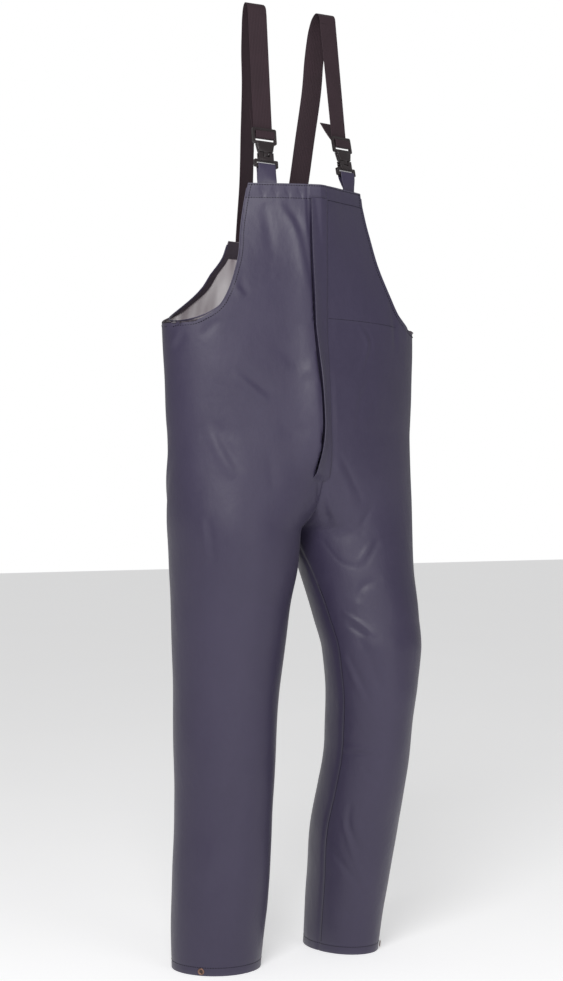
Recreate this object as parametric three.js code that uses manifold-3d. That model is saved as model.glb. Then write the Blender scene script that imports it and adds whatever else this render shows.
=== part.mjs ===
// Waterproof bib-and-brace overall: coated cloth panels, inner facings and seam tapes,
// a front flap, elastic braces and side-release buckles with ladder locks.
// Millimetres, +Z up, wearer's right at -X, front at -Y, hems at Z = 0.
import * as THREE from 'three';
import * as BufferGeometryUtils from 'three/addons/utils/BufferGeometryUtils.js';
import Module from 'manifold-3d';

const wasm = await Module();
wasm.setup();

// ---- driving dimensions ----------------------------------------------------------
const CENTRE_SHIFT_Y = 13.75;       // puts the origin midway between the front and back limits
const CLOTH = 1.5;                // panel thickness
const SEAM = 0.5;                 // half the space between the two halves at the centre seams
const JOIN = 0.3;                 // space between two solids that meet edge to edge
const GAP = 0.4;                  // space between two layers
const FACING = 0.8;               // facing and tape thickness
const AROUND = 24;                // facets around one leg or one half of the trunk
const KNEE_ROW = 5;               // leg ring where the lower and the upper leg panels meet
const CROTCH_Z = 765;
const UNDERARM_Z = 1120;
const BIB_TOP_Z = 1366;
const BACK_TOP_Z = 1281;
const INSEAM_FORWARD = 12;        // degrees that the inseam lies forward of the inner side
const HEM_FACING = 15;
const HEM_STUD_Z = 7.5;
const STUD_R = 6;
const TAPE_HALF = 9;
const ARMHOLE_FACING = 12;
const FLAP_WIDTH = 34;
const FLAP_SEWN_X = [15, 9, 7, 8];         // sewn edge at the four flap levels
const FLAP_LEVELS = [1366, 1143, 955, 866];
const FLAP_LIFT = [0, 25, 40, 28];         // degrees that the free edge stands off the panel
const FLAP_OFF = 2.9;
const WEB_WIDTH = 38;
const WEB_THICK = 1.6;
const TAB_THICK = 1.2;
const TAB_U = 87;                 // tab centre, distance from the centre line
const CREST_Z = 1691;
const BUCKLE_OUTER = 50;          // overall width of the lower bar and of the ladder frame
const SLOT_HALF = 20.5;           // half width of every webbing slot
const BODY_HALF = 14;             // half width of the socket body

// Leg rings: height, centre distance from the centre line, centre Y, half width, half depth.
const RIGHT_LEG = [
  [0, 135, 34, 79, 79],
  [60, 134, 32, 82, 82],
  [115, 132, 29, 84.5, 84.5],
  [235, 128, 25, 85.5, 85.5],
  [315, 126, 24, 87, 87],
  [395, 125, 22, 90, 90],
  [470, 124, 20, 93.5, 93.5],
  [555, 122.5, 15, 99.5, 100],
  [635, 121, 9, 105, 106],
  [700, 118.5, 4, 113, 113],
  [740, 119, 1, 117, 116],
  [CROTCH_Z, 120.8, 0, 119.9, 117],
];
const LEFT_LEG = [
  [0, 135, 47, 61, 86],
  [70, 133, 33, 64.5, 88],
  [130, 130.5, 18, 68, 90],
  [230, 128, -6, 74.5, 90.5],
  [305, 126, -33, 72.5, 91],
  [375, 125.5, -52, 70, 90.5],
  [420, 125, -59, 71.5, 90.5],
  [490, 125, -68, 78.5, 91],
  [550, 125, -67, 87, 93.5],
  [605, 124, -52, 94, 98],
  [690, 121, -27, 102.5, 104.5],
  [740, 119.5, -8, 113, 112],
  [CROTCH_Z, 120.8, 0, 119.9, 117],
];
// Trunk rings of one half: height, centre from the centre line, half width, front and back depth.
const TRUNK = [
  [CROTCH_Z + JOIN, 120.8, 119.9, 117, 117],
  [770, 119.5, 121, 117, 117],
  [781, 114, 129, 117.5, 117],
  [809, 96, 147, 111, 119],
  [840, 80, 163, 112.5, 115],
  [880, 47, 195, 115.4, 112],
  [910, 22, 221, 115, 110],
  [942, 0, 245, 114, 108],
  [1030, 0, 249, 108, 114],
  [1075, 0, 252, 103, 117],
  [UNDERARM_Z - JOIN, 0, 254, 98, 119],
];
// Bib rows: height at the centre front, height and half width at the armhole edge.
const BIB_ROWS = [
  [UNDERARM_Z, UNDERARM_Z, 254],
  [1145, 1122, 229],
  [1172, 1132, 207],
  [1198, 1147, 187],
  [1224, 1172, 170.5],
  [1250, 1206, 155],
  [1274, 1245, 141.5],
  [1298, 1285, 134],
  [1320, 1315, 127.5],
  [1341, 1341, 122],
  [BIB_TOP_Z, BIB_TOP_Z, 117],
];
const BACK_ROWS = [
  [UNDERARM_Z, UNDERARM_Z, 254],
  [1142, 1128, 238],
  [1164, 1139, 209],
  [1186, 1162, 173],
  [1206, 1190, 139],
  [1226, 1221, 119],
  [1246, 1246, 98],
  [1264, 1264, 91],
  [BACK_TOP_Z, BACK_TOP_Z, 85],
];
const ACROSS = 12;                // facets from the centre line to an armhole edge
const CHEST_DEPTH = 98;
const BIB_TOP_FRONT = 93.5;
const BIB_TOP_FALL = 49.5;        // how far the bib's top corner lies behind its centre
const BIB_TOP_BEND = 1.2;
const BACK_DEPTH = 119;
const BACK_TOP_DEPTH = 90;
const BACK_TOP_FALL = 10;

const SIDES = [
  { name: 'right', s: -1, leg: RIGHT_LEG, facing: 4, crestX: 77, tailLean: 10 },
  { name: 'left', s: 1, leg: LEFT_LEG, facing: 13, crestX: 71, tailLean: 27 },
];

// ---- materials ----------------------------------------------------------
function surface(hex, roughness, metalness) {
  return new THREE.MeshStandardMaterial({ color: hex, roughness, metalness });
}
const COATED = () => surface(0x2c2a3a, 0.42, 0);
const COATED_DARK = () => surface(0x242232, 0.5, 0);
const ELASTIC = () => surface(0x372c36, 0.85, 0);
const PLASTIC = () => surface(0x1b1b20, 0.3, 0);
const STUD_METAL = () => surface(0x8a5a48, 0.35, 0.9);

// ---- small helpers ----------------------------------------------------------
const rad = THREE.MathUtils.degToRad;
const mix = THREE.MathUtils.lerp;
const vec = (x, y, z) => new THREE.Vector3(x, y, z);

function ease(x) {
  const k = Math.min(1, Math.max(0, x));
  return k * k * (3 - 2 * k);
}

// Value at z from a falling list of levels and the values that go with them.
function along(levels, values, z) {
  for (let i = 1; i < levels.length; i += 1) {
    if (z >= levels[i] || i === levels.length - 1) {
      return mix(values[i - 1], values[i], (levels[i - 1] - z) / (levels[i - 1] - levels[i]));
    }
  }
  return values[0];
}

// ---- cloth surfaces ----------------------------------------------------------
// One ring of a leg or of a trunk half. It starts at the inner side or the centre front,
// goes round by the outer side, and ends at the inner side or the centre back.
function ring(s, z, centreU, centreY, halfU, front, back, turn) {
  const inner = (centreU - SEAM) / halfU;
  const start = inner >= 1 ? 0.4 / halfU : Math.acos(inner);
  const row = [];
  for (let i = 0; i <= AROUND; i += 1) {
    const t = mix(start, 2 * Math.PI - start, i / AROUND) + rad(turn);
    const depth = Math.sin(t) > 0 ? front : back;
    row.push(vec(s * (centreU - halfU * Math.cos(t)), centreY - depth * Math.sin(t), z));
  }
  return row;
}

function legGrid(side) {
  return side.leg.map(([z, u, y, halfU, halfY]) => {
    const turn = INSEAM_FORWARD * ease((CROTCH_Z - z) / 200);
    return ring(side.s, z, u, y, halfU, halfY, halfY, turn);
  });
}

function trunkGrid(side) {
  return TRUNK.map(([z, u, halfU, front, back]) => ring(side.s, z, u, 0, halfU, front, back, 0));
}

function frontY(u, z) {
  const low = -CHEST_DEPTH * Math.sqrt(Math.max(0, 1 - (u / 254) ** 2));
  const high = -BIB_TOP_FRONT + BIB_TOP_FALL * (u / 117) ** BIB_TOP_BEND;
  return mix(low, high, ease((z - UNDERARM_Z) / (BIB_TOP_Z - UNDERARM_Z)));
}

function backY(u, z) {
  const low = BACK_DEPTH * Math.sqrt(Math.max(0, 1 - (u / 254) ** 2));
  const high = BACK_TOP_DEPTH - BACK_TOP_FALL * (u / 85) ** 2;
  return mix(low, high, ease((z - UNDERARM_Z) / (BACK_TOP_Z - UNDERARM_Z)));
}

// Rows of the bib or of the back above the underarm, from the centre line to the armhole.
function upperGrid(side, rows, depthAt) {
  return rows.map(([centreZ, edgeZ, edgeU], j) => {
    const row = [];
    for (let i = 0; i <= ACROSS; i += 1) {
      const even = i / ACROSS;
      const f = mix(Math.sin(even * Math.PI / 2), even, Math.min(1, j / 3));
      const u = mix(SEAM, edgeU, f);
      const z = mix(centreZ, edgeZ, f * f);
      row.push(vec(side.s * u, depthAt(u, z), z));
    }
    return row;
  });
}

// Front of the trunk at a distance from the centre line and a height.
function trunkFrontY(u, z) {
  const low = TRUNK.findLast(([level]) => level <= z);
  const high = TRUNK.find(([level]) => level > z) ?? low;
  const depth = ([, centre, halfU, front]) => -front * Math.sqrt(1 - ((u - centre) / halfU) ** 2);
  const share = high === low ? 0 : (z - low[0]) / (high[0] - low[0]);
  return mix(depth(low), depth(high), share);
}

// Point of a grid at a row and column that need not be whole numbers.
function at(grid, r, c) {
  const j = Math.min(grid.length - 2, Math.floor(r));
  const i = Math.min(grid[0].length - 2, Math.floor(c));
  const low = grid[j][i].clone().lerp(grid[j][i + 1], c - i);
  const high = grid[j + 1][i].clone().lerp(grid[j + 1][i + 1], c - i);
  return low.lerp(high, r - j);
}

function gridNormal(grid, j, i, sign) {
  const up = grid[Math.min(j + 1, grid.length - 1)][i].clone();
  up.sub(grid[Math.max(j - 1, 0)][i]);
  const over = grid[j][Math.min(i + 1, grid[0].length - 1)].clone();
  over.sub(grid[j][Math.max(i - 1, 0)]);
  return up.cross(over).multiplyScalar(-sign).normalize();
}

// Closed sheet between two depths below a grid of surface points.
// Normals of the first and last rows that are no steeper than a limit are levelled, so that
// edges that meet stay level.
function sheet(grid, sign, outer, inner, levelFirst = 0, levelLast = 0) {
  const rows = grid.length;
  const cols = grid[0].length;
  const points = [];
  for (const depth of [outer, inner]) {
    for (let j = 0; j < rows; j += 1) {
      for (let i = 0; i < cols; i += 1) {
        const normal = gridNormal(grid, j, i, sign);
        if (j === 0 && Math.abs(normal.z) < levelFirst) normal.setZ(0).normalize();
        if (j === rows - 1 && Math.abs(normal.z) < levelLast) normal.setZ(0).normalize();
        points.push(grid[j][i].clone().addScaledVector(normal, -depth));
      }
    }
  }
  const id = (layer, j, i) => layer * rows * cols + j * cols + i;
  const faces = [];
  const quad = (a, b, c, d) => faces.push(a, b, c, a, c, d);
  for (let j = 0; j < rows - 1; j += 1) {
    for (let i = 0; i < cols - 1; i += 1) {
      quad(id(0, j, i), id(0, j, i + 1), id(0, j + 1, i + 1), id(0, j + 1, i));
      quad(id(1, j, i), id(1, j + 1, i), id(1, j + 1, i + 1), id(1, j, i + 1));
    }
  }
  for (let j = 0; j < rows - 1; j += 1) {
    quad(id(0, j + 1, 0), id(1, j + 1, 0), id(1, j, 0), id(0, j, 0));
    quad(id(0, j, cols - 1), id(1, j, cols - 1), id(1, j + 1, cols - 1), id(0, j + 1, cols - 1));
  }
  for (let i = 0; i < cols - 1; i += 1) {
    quad(id(0, 0, i), id(1, 0, i), id(1, 0, i + 1), id(0, 0, i + 1));
    const last = rows - 1;
    quad(id(0, last, i + 1), id(1, last, i + 1), id(1, last, i), id(0, last, i));
  }
  return closedGeometry(points, faces);
}

// Geometry from points and triangles, turned so that its faces point out.
function closedGeometry(points, faces) {
  let volume = 0;
  for (let k = 0; k < faces.length; k += 3) {
    const [a, b, c] = [points[faces[k]], points[faces[k + 1]], points[faces[k + 2]]];
    volume += a.dot(b.clone().cross(c));
  }
  if (volume < 0) faces.reverse();
  const numbers = points.flatMap((p) => [p.x, p.y, p.z]);
  const geometry = new THREE.BufferGeometry();
  geometry.setAttribute('position', new THREE.Float32BufferAttribute(numbers, 3));
  geometry.setIndex(faces);
  geometry.computeVertexNormals();
  return geometry;
}

// Flat webbing through a list of stations, each with a centre and a width direction.
function webbing(stations, width, thickness) {
  const points = [];
  stations.forEach(({ centre, across }, k) => {
    const before = stations[Math.max(0, k - 1)].centre;
    const after = stations[Math.min(stations.length - 1, k + 1)].centre;
    const run = after.clone().sub(before).normalize();
    const side = across.clone().addScaledVector(run, -across.dot(run)).normalize();
    const face = run.clone().cross(side);
    for (const [a, b] of [[-1, -1], [1, -1], [1, 1], [-1, 1]]) {
      const corner = centre.clone().addScaledVector(side, a * width / 2);
      points.push(corner.addScaledVector(face, b * thickness / 2));
    }
  });
  const faces = [0, 1, 2, 0, 2, 3];
  for (let k = 0; k < stations.length - 1; k += 1) {
    for (let m = 0; m < 4; m += 1) {
      const a = 4 * k + m;
      const b = 4 * k + ((m + 1) % 4);
      if (m === 2) faces.push(a, a + 4, b, b, a + 4, b + 4);
      else faces.push(a, a + 4, b + 4, a, b + 4, b);
    }
  }
  const end = 4 * (stations.length - 1);
  faces.push(end, end + 2, end + 1, end, end + 3, end + 2);
  return closedGeometry(points, faces);
}

// ---- joining and cutting ----------------------------------------------------------
function solid(geometry) {
  const bare = geometry.clone();
  bare.deleteAttribute('normal');
  bare.deleteAttribute('uv');
  const merged = BufferGeometryUtils.mergeVertices(bare, 1e-4);
  const vertProperties = new Float32Array(merged.attributes.position.array);
  const triVerts = new Uint32Array(merged.index.array);
  return new wasm.Manifold(new wasm.Mesh({ numProp: 3, vertProperties, triVerts }));
}

function geometryOf(manifold) {
  const mesh = manifold.getMesh();
  const numbers = new Float32Array(mesh.vertProperties);
  const geometry = new THREE.BufferGeometry();
  geometry.setAttribute('position', new THREE.BufferAttribute(numbers, 3));
  geometry.setIndex(new THREE.BufferAttribute(new Uint32Array(mesh.triVerts), 1));
  geometry.computeVertexNormals();
  return geometry;
}

// Box from its low and high limits.
function block(x0, x1, y0, y1, z0, z1) {
  const box = new THREE.BoxGeometry(x1 - x0, y1 - y0, z1 - z0);
  return solid(box.translate((x0 + x1) / 2, (y0 + y1) / 2, (z0 + z1) / 2));
}

// Outline in the buckle's width-height plane, made solid to a half thickness.
function plate(outline, half) {
  const shape = new THREE.Shape(outline.map(([x, z]) => new THREE.Vector2(x, z)));
  const geometry = new THREE.ExtrudeGeometry(shape, { depth: 2 * half, bevelEnabled: false });
  geometry.translate(0, 0, -half);
  return geometry.rotateX(Math.PI / 2);
}

function roundedPlate(halfWidth, z0, z1, radius, half) {
  const shape = new THREE.Shape();
  shape.moveTo(-halfWidth + radius, z0);
  shape.lineTo(halfWidth - radius, z0);
  shape.absarc(halfWidth - radius, z0 + radius, radius, -Math.PI / 2, 0, false);
  shape.lineTo(halfWidth, z1 - radius);
  shape.absarc(halfWidth - radius, z1 - radius, radius, 0, Math.PI / 2, false);
  shape.lineTo(-halfWidth + radius, z1);
  shape.absarc(-halfWidth + radius, z1 - radius, radius, Math.PI / 2, Math.PI, false);
  shape.lineTo(-halfWidth, z0 + radius);
  shape.absarc(-halfWidth + radius, z0 + radius, radius, Math.PI, 1.5 * Math.PI, false);
  const settings = { depth: 2 * half, bevelEnabled: false, curveSegments: 3 };
  const geometry = new THREE.ExtrudeGeometry(shape, settings);
  geometry.translate(0, 0, -half);
  return solid(geometry.rotateX(Math.PI / 2));
}

function mesh(name, geometry, material) {
  const node = new THREE.Mesh(geometry, material);
  node.name = name;
  return node;
}

// ---- panels ----------------------------------------------------------
function legPanels(side) {
  const grid = legGrid(side);
  const lower = grid.slice(0, KNEE_ROW + 1);
  const upper = grid.slice(KNEE_ROW);
  upper[0] = upper[0].map((p, i) => p.clone().lerp(upper[1][i], JOIN / (upper[1][i].z - p.z)));
  return [
    mesh(`${side.name}_lower_leg_panel`, sheet(lower, side.s, 0, CLOTH, 1, 1), COATED()),
    mesh(`${side.name}_upper_leg_panel`, sheet(upper, side.s, 0, CLOTH, 1, 1), COATED()),
  ];
}

function trunkPanel(side) {
  return mesh(`${side.name}_trunk_panel`, sheet(trunkGrid(side), side.s, 0, CLOTH, 0.3, 1), COATED());
}

function bibPanel(side) {
  const grid = upperGrid(side, BIB_ROWS, frontY);
  return mesh(`${side.name}_bib_panel`, sheet(grid, side.s, 0, CLOTH, 1), COATED());
}

function backPanel(side) {
  const grid = upperGrid(side, BACK_ROWS, backY);
  return mesh(`${side.name}_back_panel`, sheet(grid, -side.s, 0, CLOTH, 1), COATED());
}

// ---- facings and tapes, all on the inner face ----------------------------------------------------
const LAYER_IN = CLOTH + GAP;
const LAYER_OUT = CLOTH + GAP + FACING;

function hemFacing(side) {
  const grid = legGrid(side);
  const step = side.leg[1][0];
  const columns = grid[0].map((_, i) => Math.min(AROUND - 0.1, Math.max(0.1, i)));
  const patch = [1 / step, HEM_FACING / step].map((r) => columns.map((c) => at(grid, r, c)));
  return mesh(`${side.name}_hem_facing`, sheet(patch, side.s, LAYER_IN, LAYER_OUT), COATED_DARK());
}

// Facing along an armhole edge, inside the last column of a bib or back grid. It stops
// below the rows that the top facing covers.
function armholeFacing(side, part, rows, depthAt, sign, topRows) {
  const grid = upperGrid(side, rows, depthAt);
  const last = rows.length - 1 - topRows;
  const levels = [part === 'back' ? 2.5 : 2];
  for (let j = 3; j < last; j += 1) levels.push(j);
  levels.push(last - 0.03);
  const patch = levels.map((r) => {
    const span = at(grid, r, ACROSS).distanceTo(at(grid, r, ACROSS - 1));
    const reach = Math.min(0.95, ARMHOLE_FACING / span);
    return [at(grid, r, ACROSS - reach), at(grid, r, ACROSS - 0.04)];
  });
  const name = `${side.name}_armhole_${part}_facing`;
  return mesh(name, sheet(patch, sign, LAYER_IN, LAYER_OUT), COATED_DARK());
}

// Facing along a top edge, from one armhole to the other.
function topFacing(name, rows, depthAt, levels, sign) {
  const grids = SIDES.map((side) => upperGrid(side, rows, depthAt));
  const patch = levels.map((r) => {
    const right = [];
    const left = [];
    for (let i = 0; i <= ACROSS; i += 1) {
      const c = Math.min(i, ACROSS - 0.05);
      right.unshift(at(grids[0], r, c));
      left.push(at(grids[1], r, c));
    }
    return [...right, ...left];
  });
  return mesh(name, sheet(patch, sign, LAYER_IN, LAYER_OUT), COATED_DARK());
}

// Tape over a seam between the first columns of two grids that mirror each other.
function centreTape(name, lists, firstRow, lastRow, last) {
  const [right, left] = lists;
  const rows = [];
  for (let r = firstRow; r <= lastRow; r += 1) rows.push(r);
  const end = last ? right[0].length - 1 : 0;
  const next = last ? end - 1 : 1;
  const patch = rows.map((r) => {
    const span = right[r][end].distanceTo(right[r][next]);
    const reach = TAPE_HALF / span;
    return [
      right[r][end].clone().lerp(right[r][next], reach),
      right[r][end].clone(),
      left[r][end].clone(),
      left[r][end].clone().lerp(left[r][next], reach),
    ];
  });
  return mesh(name, sheet(patch, last ? -1 : 1, LAYER_IN, LAYER_OUT), COATED_DARK());
}

function frontTape() {
  const lists = SIDES.map((side) => {
    return [...trunkGrid(side), ...upperGrid(side, BIB_ROWS, frontY).slice(1)];
  });
  return centreTape('centre_front_tape', lists, 6, lists[0].length - 3, false);
}

function backTape() {
  const lists = SIDES.map((side) => {
    const upper = upperGrid(side, BACK_ROWS, backY).slice(1);
    return [...trunkGrid(side), ...upper.map((row) => [...row].reverse())];
  });
  const even = lists.map((rows) => rows.map((row) => [row[row.length - 2], row[row.length - 1]]));
  return centreTape('centre_back_tape', even, 4, even[0].length - 4, true);
}

function inseamTape(side) {
  const grid = legGrid(side);
  const patch = grid.map((row, j) => {
    const level = Math.min(grid.length - 1.3, Math.max(0.35, j));
    const span = at(grid, level, 0).distanceTo(at(grid, level, 1));
    const reach = TAPE_HALF / span;
    return [
      at(grid, level, AROUND - reach),
      at(grid, level, AROUND),
      at(grid, level, 0),
      at(grid, level, reach),
    ];
  });
  return mesh(`${side.name}_inseam_tape`, sheet(patch, side.s, LAYER_IN, LAYER_OUT), COATED_DARK());
}

// Flat pocket bag behind the wearer's left side of the bib.
function innerPocket() {
  const grid = upperGrid(SIDES[1], BIB_ROWS, frontY);
  const patch = [0.45, 1, 2, 3, 4, 5, 6, 7, 7.9].map((r) => {
    const row = [];
    for (let c = 1.6; c < ACROSS - 3; c += 1) row.push(at(grid, r, Math.max(1.6, Math.floor(c))));
    return row;
  });
  return mesh('inner_pocket', sheet(patch, 1, 3.6, 4.8), COATED_DARK());
}

// ---- front flap ----------------------------------------------------------
// Rows from the sewn edge to the free edge. The free edge stands off the panel.
function flapGrid(levels) {
  return levels.map((z) => {
    const sewn = along(FLAP_LEVELS, FLAP_SEWN_X, z);
    const lift = rad(along(FLAP_LEVELS, FLAP_LIFT, z));
    const depthAt = z >= UNDERARM_Z ? frontY : trunkFrontY;
    const surfaceY = (x) => depthAt(Math.abs(x), z);
    const row = [];
    for (let k = 0; k <= 6; k += 1) {
      const w = FLAP_WIDTH * k / 6;
      const x = sewn - w * Math.cos(lift);
      const lying = surfaceY(x) - FLAP_OFF;
      const standing = surfaceY(sewn) - FLAP_OFF - w * Math.sin(lift);
      row.push(vec(x, Math.min(lying, standing), z));
    }
    return row;
  });
}

function bibFlap() {
  const levels = [1129, 1160, 1200, 1240, 1280, 1320, 1365.5];
  return mesh('bib_storm_flap', sheet(flapGrid(levels), -1, 0, CLOTH), COATED());
}

function flyFlap() {
  const levels = [868, 900, 935, 970, 1010, 1050, 1090, 1128];
  return mesh('fly_flap', sheet(flapGrid(levels), -1, 0, CLOTH), COATED());
}

// ---- press studs on the hems ----------------------------------------------------------
function studProfile(post) {
  const rim = [[0, 0], [STUD_R, 0], [STUD_R, 1], [STUD_R - 1.2, 1.9]];
  const middle = post ? [[2.4, 1.9], [2.2, 3.6], [0, 3.9]] : [[3.6, 1.9], [3.2, 1.1], [0, 1.1]];
  return [...rim, ...middle].map(([r, h]) => new THREE.Vector2(r, h));
}

// The stud sits on the middle of one facet of the leg's hem.
function hemStud(side, facet, post) {
  const grid = legGrid(side);
  const centre = at(grid, HEM_STUD_Z / side.leg[1][0], facet + 0.5);
  const over = grid[0][facet + 1].clone().sub(grid[0][facet]).multiplyScalar(side.s);
  const up = grid[1][facet].clone().sub(grid[0][facet]);
  const out = over.cross(up).normalize();
  const name = `${side.name}_hem_stud_${post ? 'post' : 'socket'}`;
  const node = mesh(name, new THREE.LatheGeometry(studProfile(post), 16), STUD_METAL());
  node.position.copy(centre).addScaledVector(out, JOIN);
  node.quaternion.setFromUnitVectors(vec(0, 1, 0), out);
  return node;
}

// ---- buckles and braces ----------------------------------------------------------
// The buckle's own axes: x across, y towards the body, z up along the brace.
function buckleFrame(side) {
  const z = vec(-side.s * 0.05, 0.194, 0.98).normalize();
  const y = vec(-side.s * Math.sin(rad(side.facing)), Math.cos(rad(side.facing)), 0);
  y.addScaledVector(z, -y.dot(z)).normalize();
  const x = y.clone().cross(z);
  const slope = BIB_TOP_FALL * BIB_TOP_BEND / 117 * (TAB_U / 117) ** (BIB_TOP_BEND - 1);
  const inward = vec(-side.s * slope, 1, 0).normalize();
  const origin = vec(side.s * TAB_U, frontY(TAB_U, BIB_TOP_Z), BIB_TOP_Z).addScaledVector(inward, 5.0);
  return { x, y, z, origin, inward };
}

function place(frame, x, y, z) {
  const p = frame.origin.clone().addScaledVector(frame.x, x);
  return p.addScaledVector(frame.y, y).addScaledVector(frame.z, z);
}

function buckleGroup(side) {
  const frame = buckleFrame(side);
  const group = new THREE.Group();
  group.position.copy(frame.origin);
  group.quaternion.setFromRotationMatrix(new THREE.Matrix4().makeBasis(frame.x, frame.y, frame.z));
  group.add(socket(side), ladder(side), latch(side, 1), latch(side, -1));
  return group;
}

// Webbing bar with its slot, and the socket that the two latch arms enter.
function socket(side) {
  let body = roundedPlate(BUCKLE_OUTER / 2, 29, 42.5, 2, 2.4);
  body = body.add(block(-BODY_HALF, BODY_HALF, -4.5, 4.5, 39.5, 55));
  body = body.subtract(block(-SLOT_HALF, SLOT_HALF, -9, 9, 33.5, 38.2));
  body = body.subtract(block(-12.2, 12.2, -2.7, 2.7, 44.5, 60));
  body = body.subtract(block(-20, 20, -2.7, 2.7, 46, 51.5));
  body = body.subtract(block(-6, 6, -9, 0, 47, 60));
  return mesh(`${side.name}_buckle_socket`, geometryOf(body), PLASTIC());
}

// Ladder lock: lower bar, see-through slot, centre bar, slot, top bar, and the guide tongue.
function ladder(side) {
  let body = roundedPlate(BUCKLE_OUTER / 2, 72, 100.5, 3, 2.3);
  body = body.subtract(block(-SLOT_HALF, SLOT_HALF, -9, 9, 76.5, 84));
  body = body.subtract(block(-SLOT_HALF, SLOT_HALF, -9, 9, 89, 96.2));
  body = body.add(solid(plate([[-16.5, 69.6], [16.5, 69.6], [19, 73], [-19, 73]], 2.3)));
  body = body.add(block(-3.6, 3.6, -2.2, 2.2, 47, 71));
  return mesh(`${side.name}_ladder_lock`, geometryOf(body), PLASTIC());
}

// One sprung side arm, with its shoulder outside the socket and its hook inside.
function latch(side, hand) {
  const outline = [
    [16.4, 69], [15.6, 63], [13.2, 55.6], [11.6, 54.8], [11.6, 49], [9.6, 46.4],
    [8.2, 46.4], [8.2, 58], [10.4, 69],
  ].map(([x, z]) => [hand * x, z]);
  if (hand < 0) outline.reverse();
  const part = hand === side.s ? 'outer' : 'inner';
  return mesh(`${side.name}_${part}_latch`, plate(outline, 2.2), PLASTIC());
}

// Doubled cloth tab: up the front of the lower bar, over it, and down behind.
function buckleTab(side) {
  const frame = buckleFrame(side);
  const path = [
    [-1.1, -22], [-1.1, 0], [-2, 9], [-3, 18], [-3.9, 26], [-3.9, 32.8], [-2.8, 34.6],
    [0, 35.2], [2.8, 34.6], [3.9, 32.8], [3.9, 26], [3, 18], [2, 9], [1.1, 0], [1.1, -22],
  ];
  const stations = path.map(([y, z]) => {
    const turned = ease(z / 26);
    const inward = frame.inward.clone().lerp(frame.y, turned).normalize();
    const along_ = z < 0 ? vec(0, 0.02, 1).normalize() : frame.z;
    const centre = frame.origin.clone().addScaledVector(inward, y).addScaledVector(along_, z);
    return { centre, across: inward.clone().cross(frame.z) };
  });
  return mesh(`${side.name}_buckle_tab`, webbing(stations, WEB_WIDTH, TAB_THICK), COATED_DARK());
}

// Webbing around the ladder's centre bar.
function ladderLoop(side) {
  const frame = buckleFrame(side);
  const path = [
    [3.9, 102.4], [3.9, 97.2], [2.2, 93.6], [-2.2, 91], [-3.9, 88.8], [-3.9, 84.6],
    [-2.6, 82.2], [0.3, 81.8], [4.4, 83.2], [6.2, 87.5], [6.2, 95.6],
  ];
  const stations = path.map(([y, z]) => ({ centre: place(frame, 0, y, z), across: frame.x }));
  return mesh(`${side.name}_brace_loop`, webbing(stations, WEB_WIDTH, WEB_THICK), ELASTIC());
}

// Loose end above the ladder, in two lengths that lean back from the brace.
function tail(side, part, from, to) {
  const frame = buckleFrame(side);
  const lean = rad(side.tailLean);
  const stations = [from, (from + to) / 2, to].map((d) => ({
    centre: place(frame, 0, 6.4 + d * Math.sin(lean), 96.6 + d * Math.cos(lean)),
    across: frame.x,
  }));
  return mesh(`${side.name}_tail_${part}`, webbing(stations, WEB_WIDTH, WEB_THICK), ELASTIC());
}

function across(side, degrees) {
  return vec(Math.cos(rad(degrees)), side.s * Math.sin(rad(degrees)), 0);
}

// From the ladder up to just below the crest.
function frontRun(side) {
  const frame = buckleFrame(side);
  const low = place(frame, 0, 3.9, 103.4);
  const high = vec(side.s * side.crestX, -8, 1670.8);
  const stations = [0, 0.25, 0.5, 0.75, 1].map((k) => ({
    centre: low.clone().lerp(high, k),
    across: frame.x.clone().lerp(across(side, 6), k),
  }));
  return mesh(`${side.name}_brace_front`, webbing(stations, WEB_WIDTH, WEB_THICK), ELASTIC());
}

// Sewn on the outside of the back, up to the crest and just over it.
function rearRun(side) {
  const off = WEB_THICK / 2 + 0.9;
  const list = [
    [46, backY(46, 1236) + off, 1236, -7], [47, backY(47, 1262) + off, 1262, -7],
    [48, backY(48, 1281) + off, 1284, -8], [50, 82, 1320, -12], [55, 67, 1386, -18],
    [66, 40, 1553, -18], [side.crestX - 3, 26, 1645, -14], [side.crestX - 1, 14, 1676, -8],
    [side.crestX, 3, CREST_Z, 0], [side.crestX, -6, 1682, 5], [side.crestX, -8, 1672, 6],
  ];
  const stations = list.map(([u, y, z, turn]) => {
    return { centre: vec(side.s * u, y, z), across: across(side, turn) };
  });
  return mesh(`${side.name}_brace_rear`, webbing(stations, WEB_WIDTH, WEB_THICK), ELASTIC());
}

// ---- assembly ----------------------------------------------------------
function sideParts(side) {
  const parts = new THREE.Group();
  parts.add(...legPanels(side), trunkPanel(side), bibPanel(side), backPanel(side));
  parts.add(hemFacing(side), inseamTape(side));
  parts.add(armholeFacing(side, 'front', BIB_ROWS, frontY, side.s, 1));
  parts.add(armholeFacing(side, 'back', BACK_ROWS, backY, -side.s, 2));
  parts.add(hemStud(side, 8, false), hemStud(side, 14, true));
  parts.add(buckleTab(side), buckleGroup(side), ladderLoop(side));
  parts.add(tail(side, 'root', 0, 18), tail(side, 'end', 18.3, 44));
  parts.add(frontRun(side), rearRun(side));
  return parts;
}

const overall = new THREE.Group();
overall.position.y = CENTRE_SHIFT_Y;
for (const side of SIDES) overall.add(sideParts(side));
overall.add(topFacing('bib_top_facing', BIB_ROWS, frontY, [9.06, 9.96], 1));
overall.add(topFacing('back_top_facing', BACK_ROWS, backY, [6.05, 7, 7.96], -1));
overall.add(frontTape(), backTape(), innerPocket(), bibFlap(), flyFlap());

export default overall;
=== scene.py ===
import math

import bpy
import numpy as np
from mathutils import Matrix, Vector, noise


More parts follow.
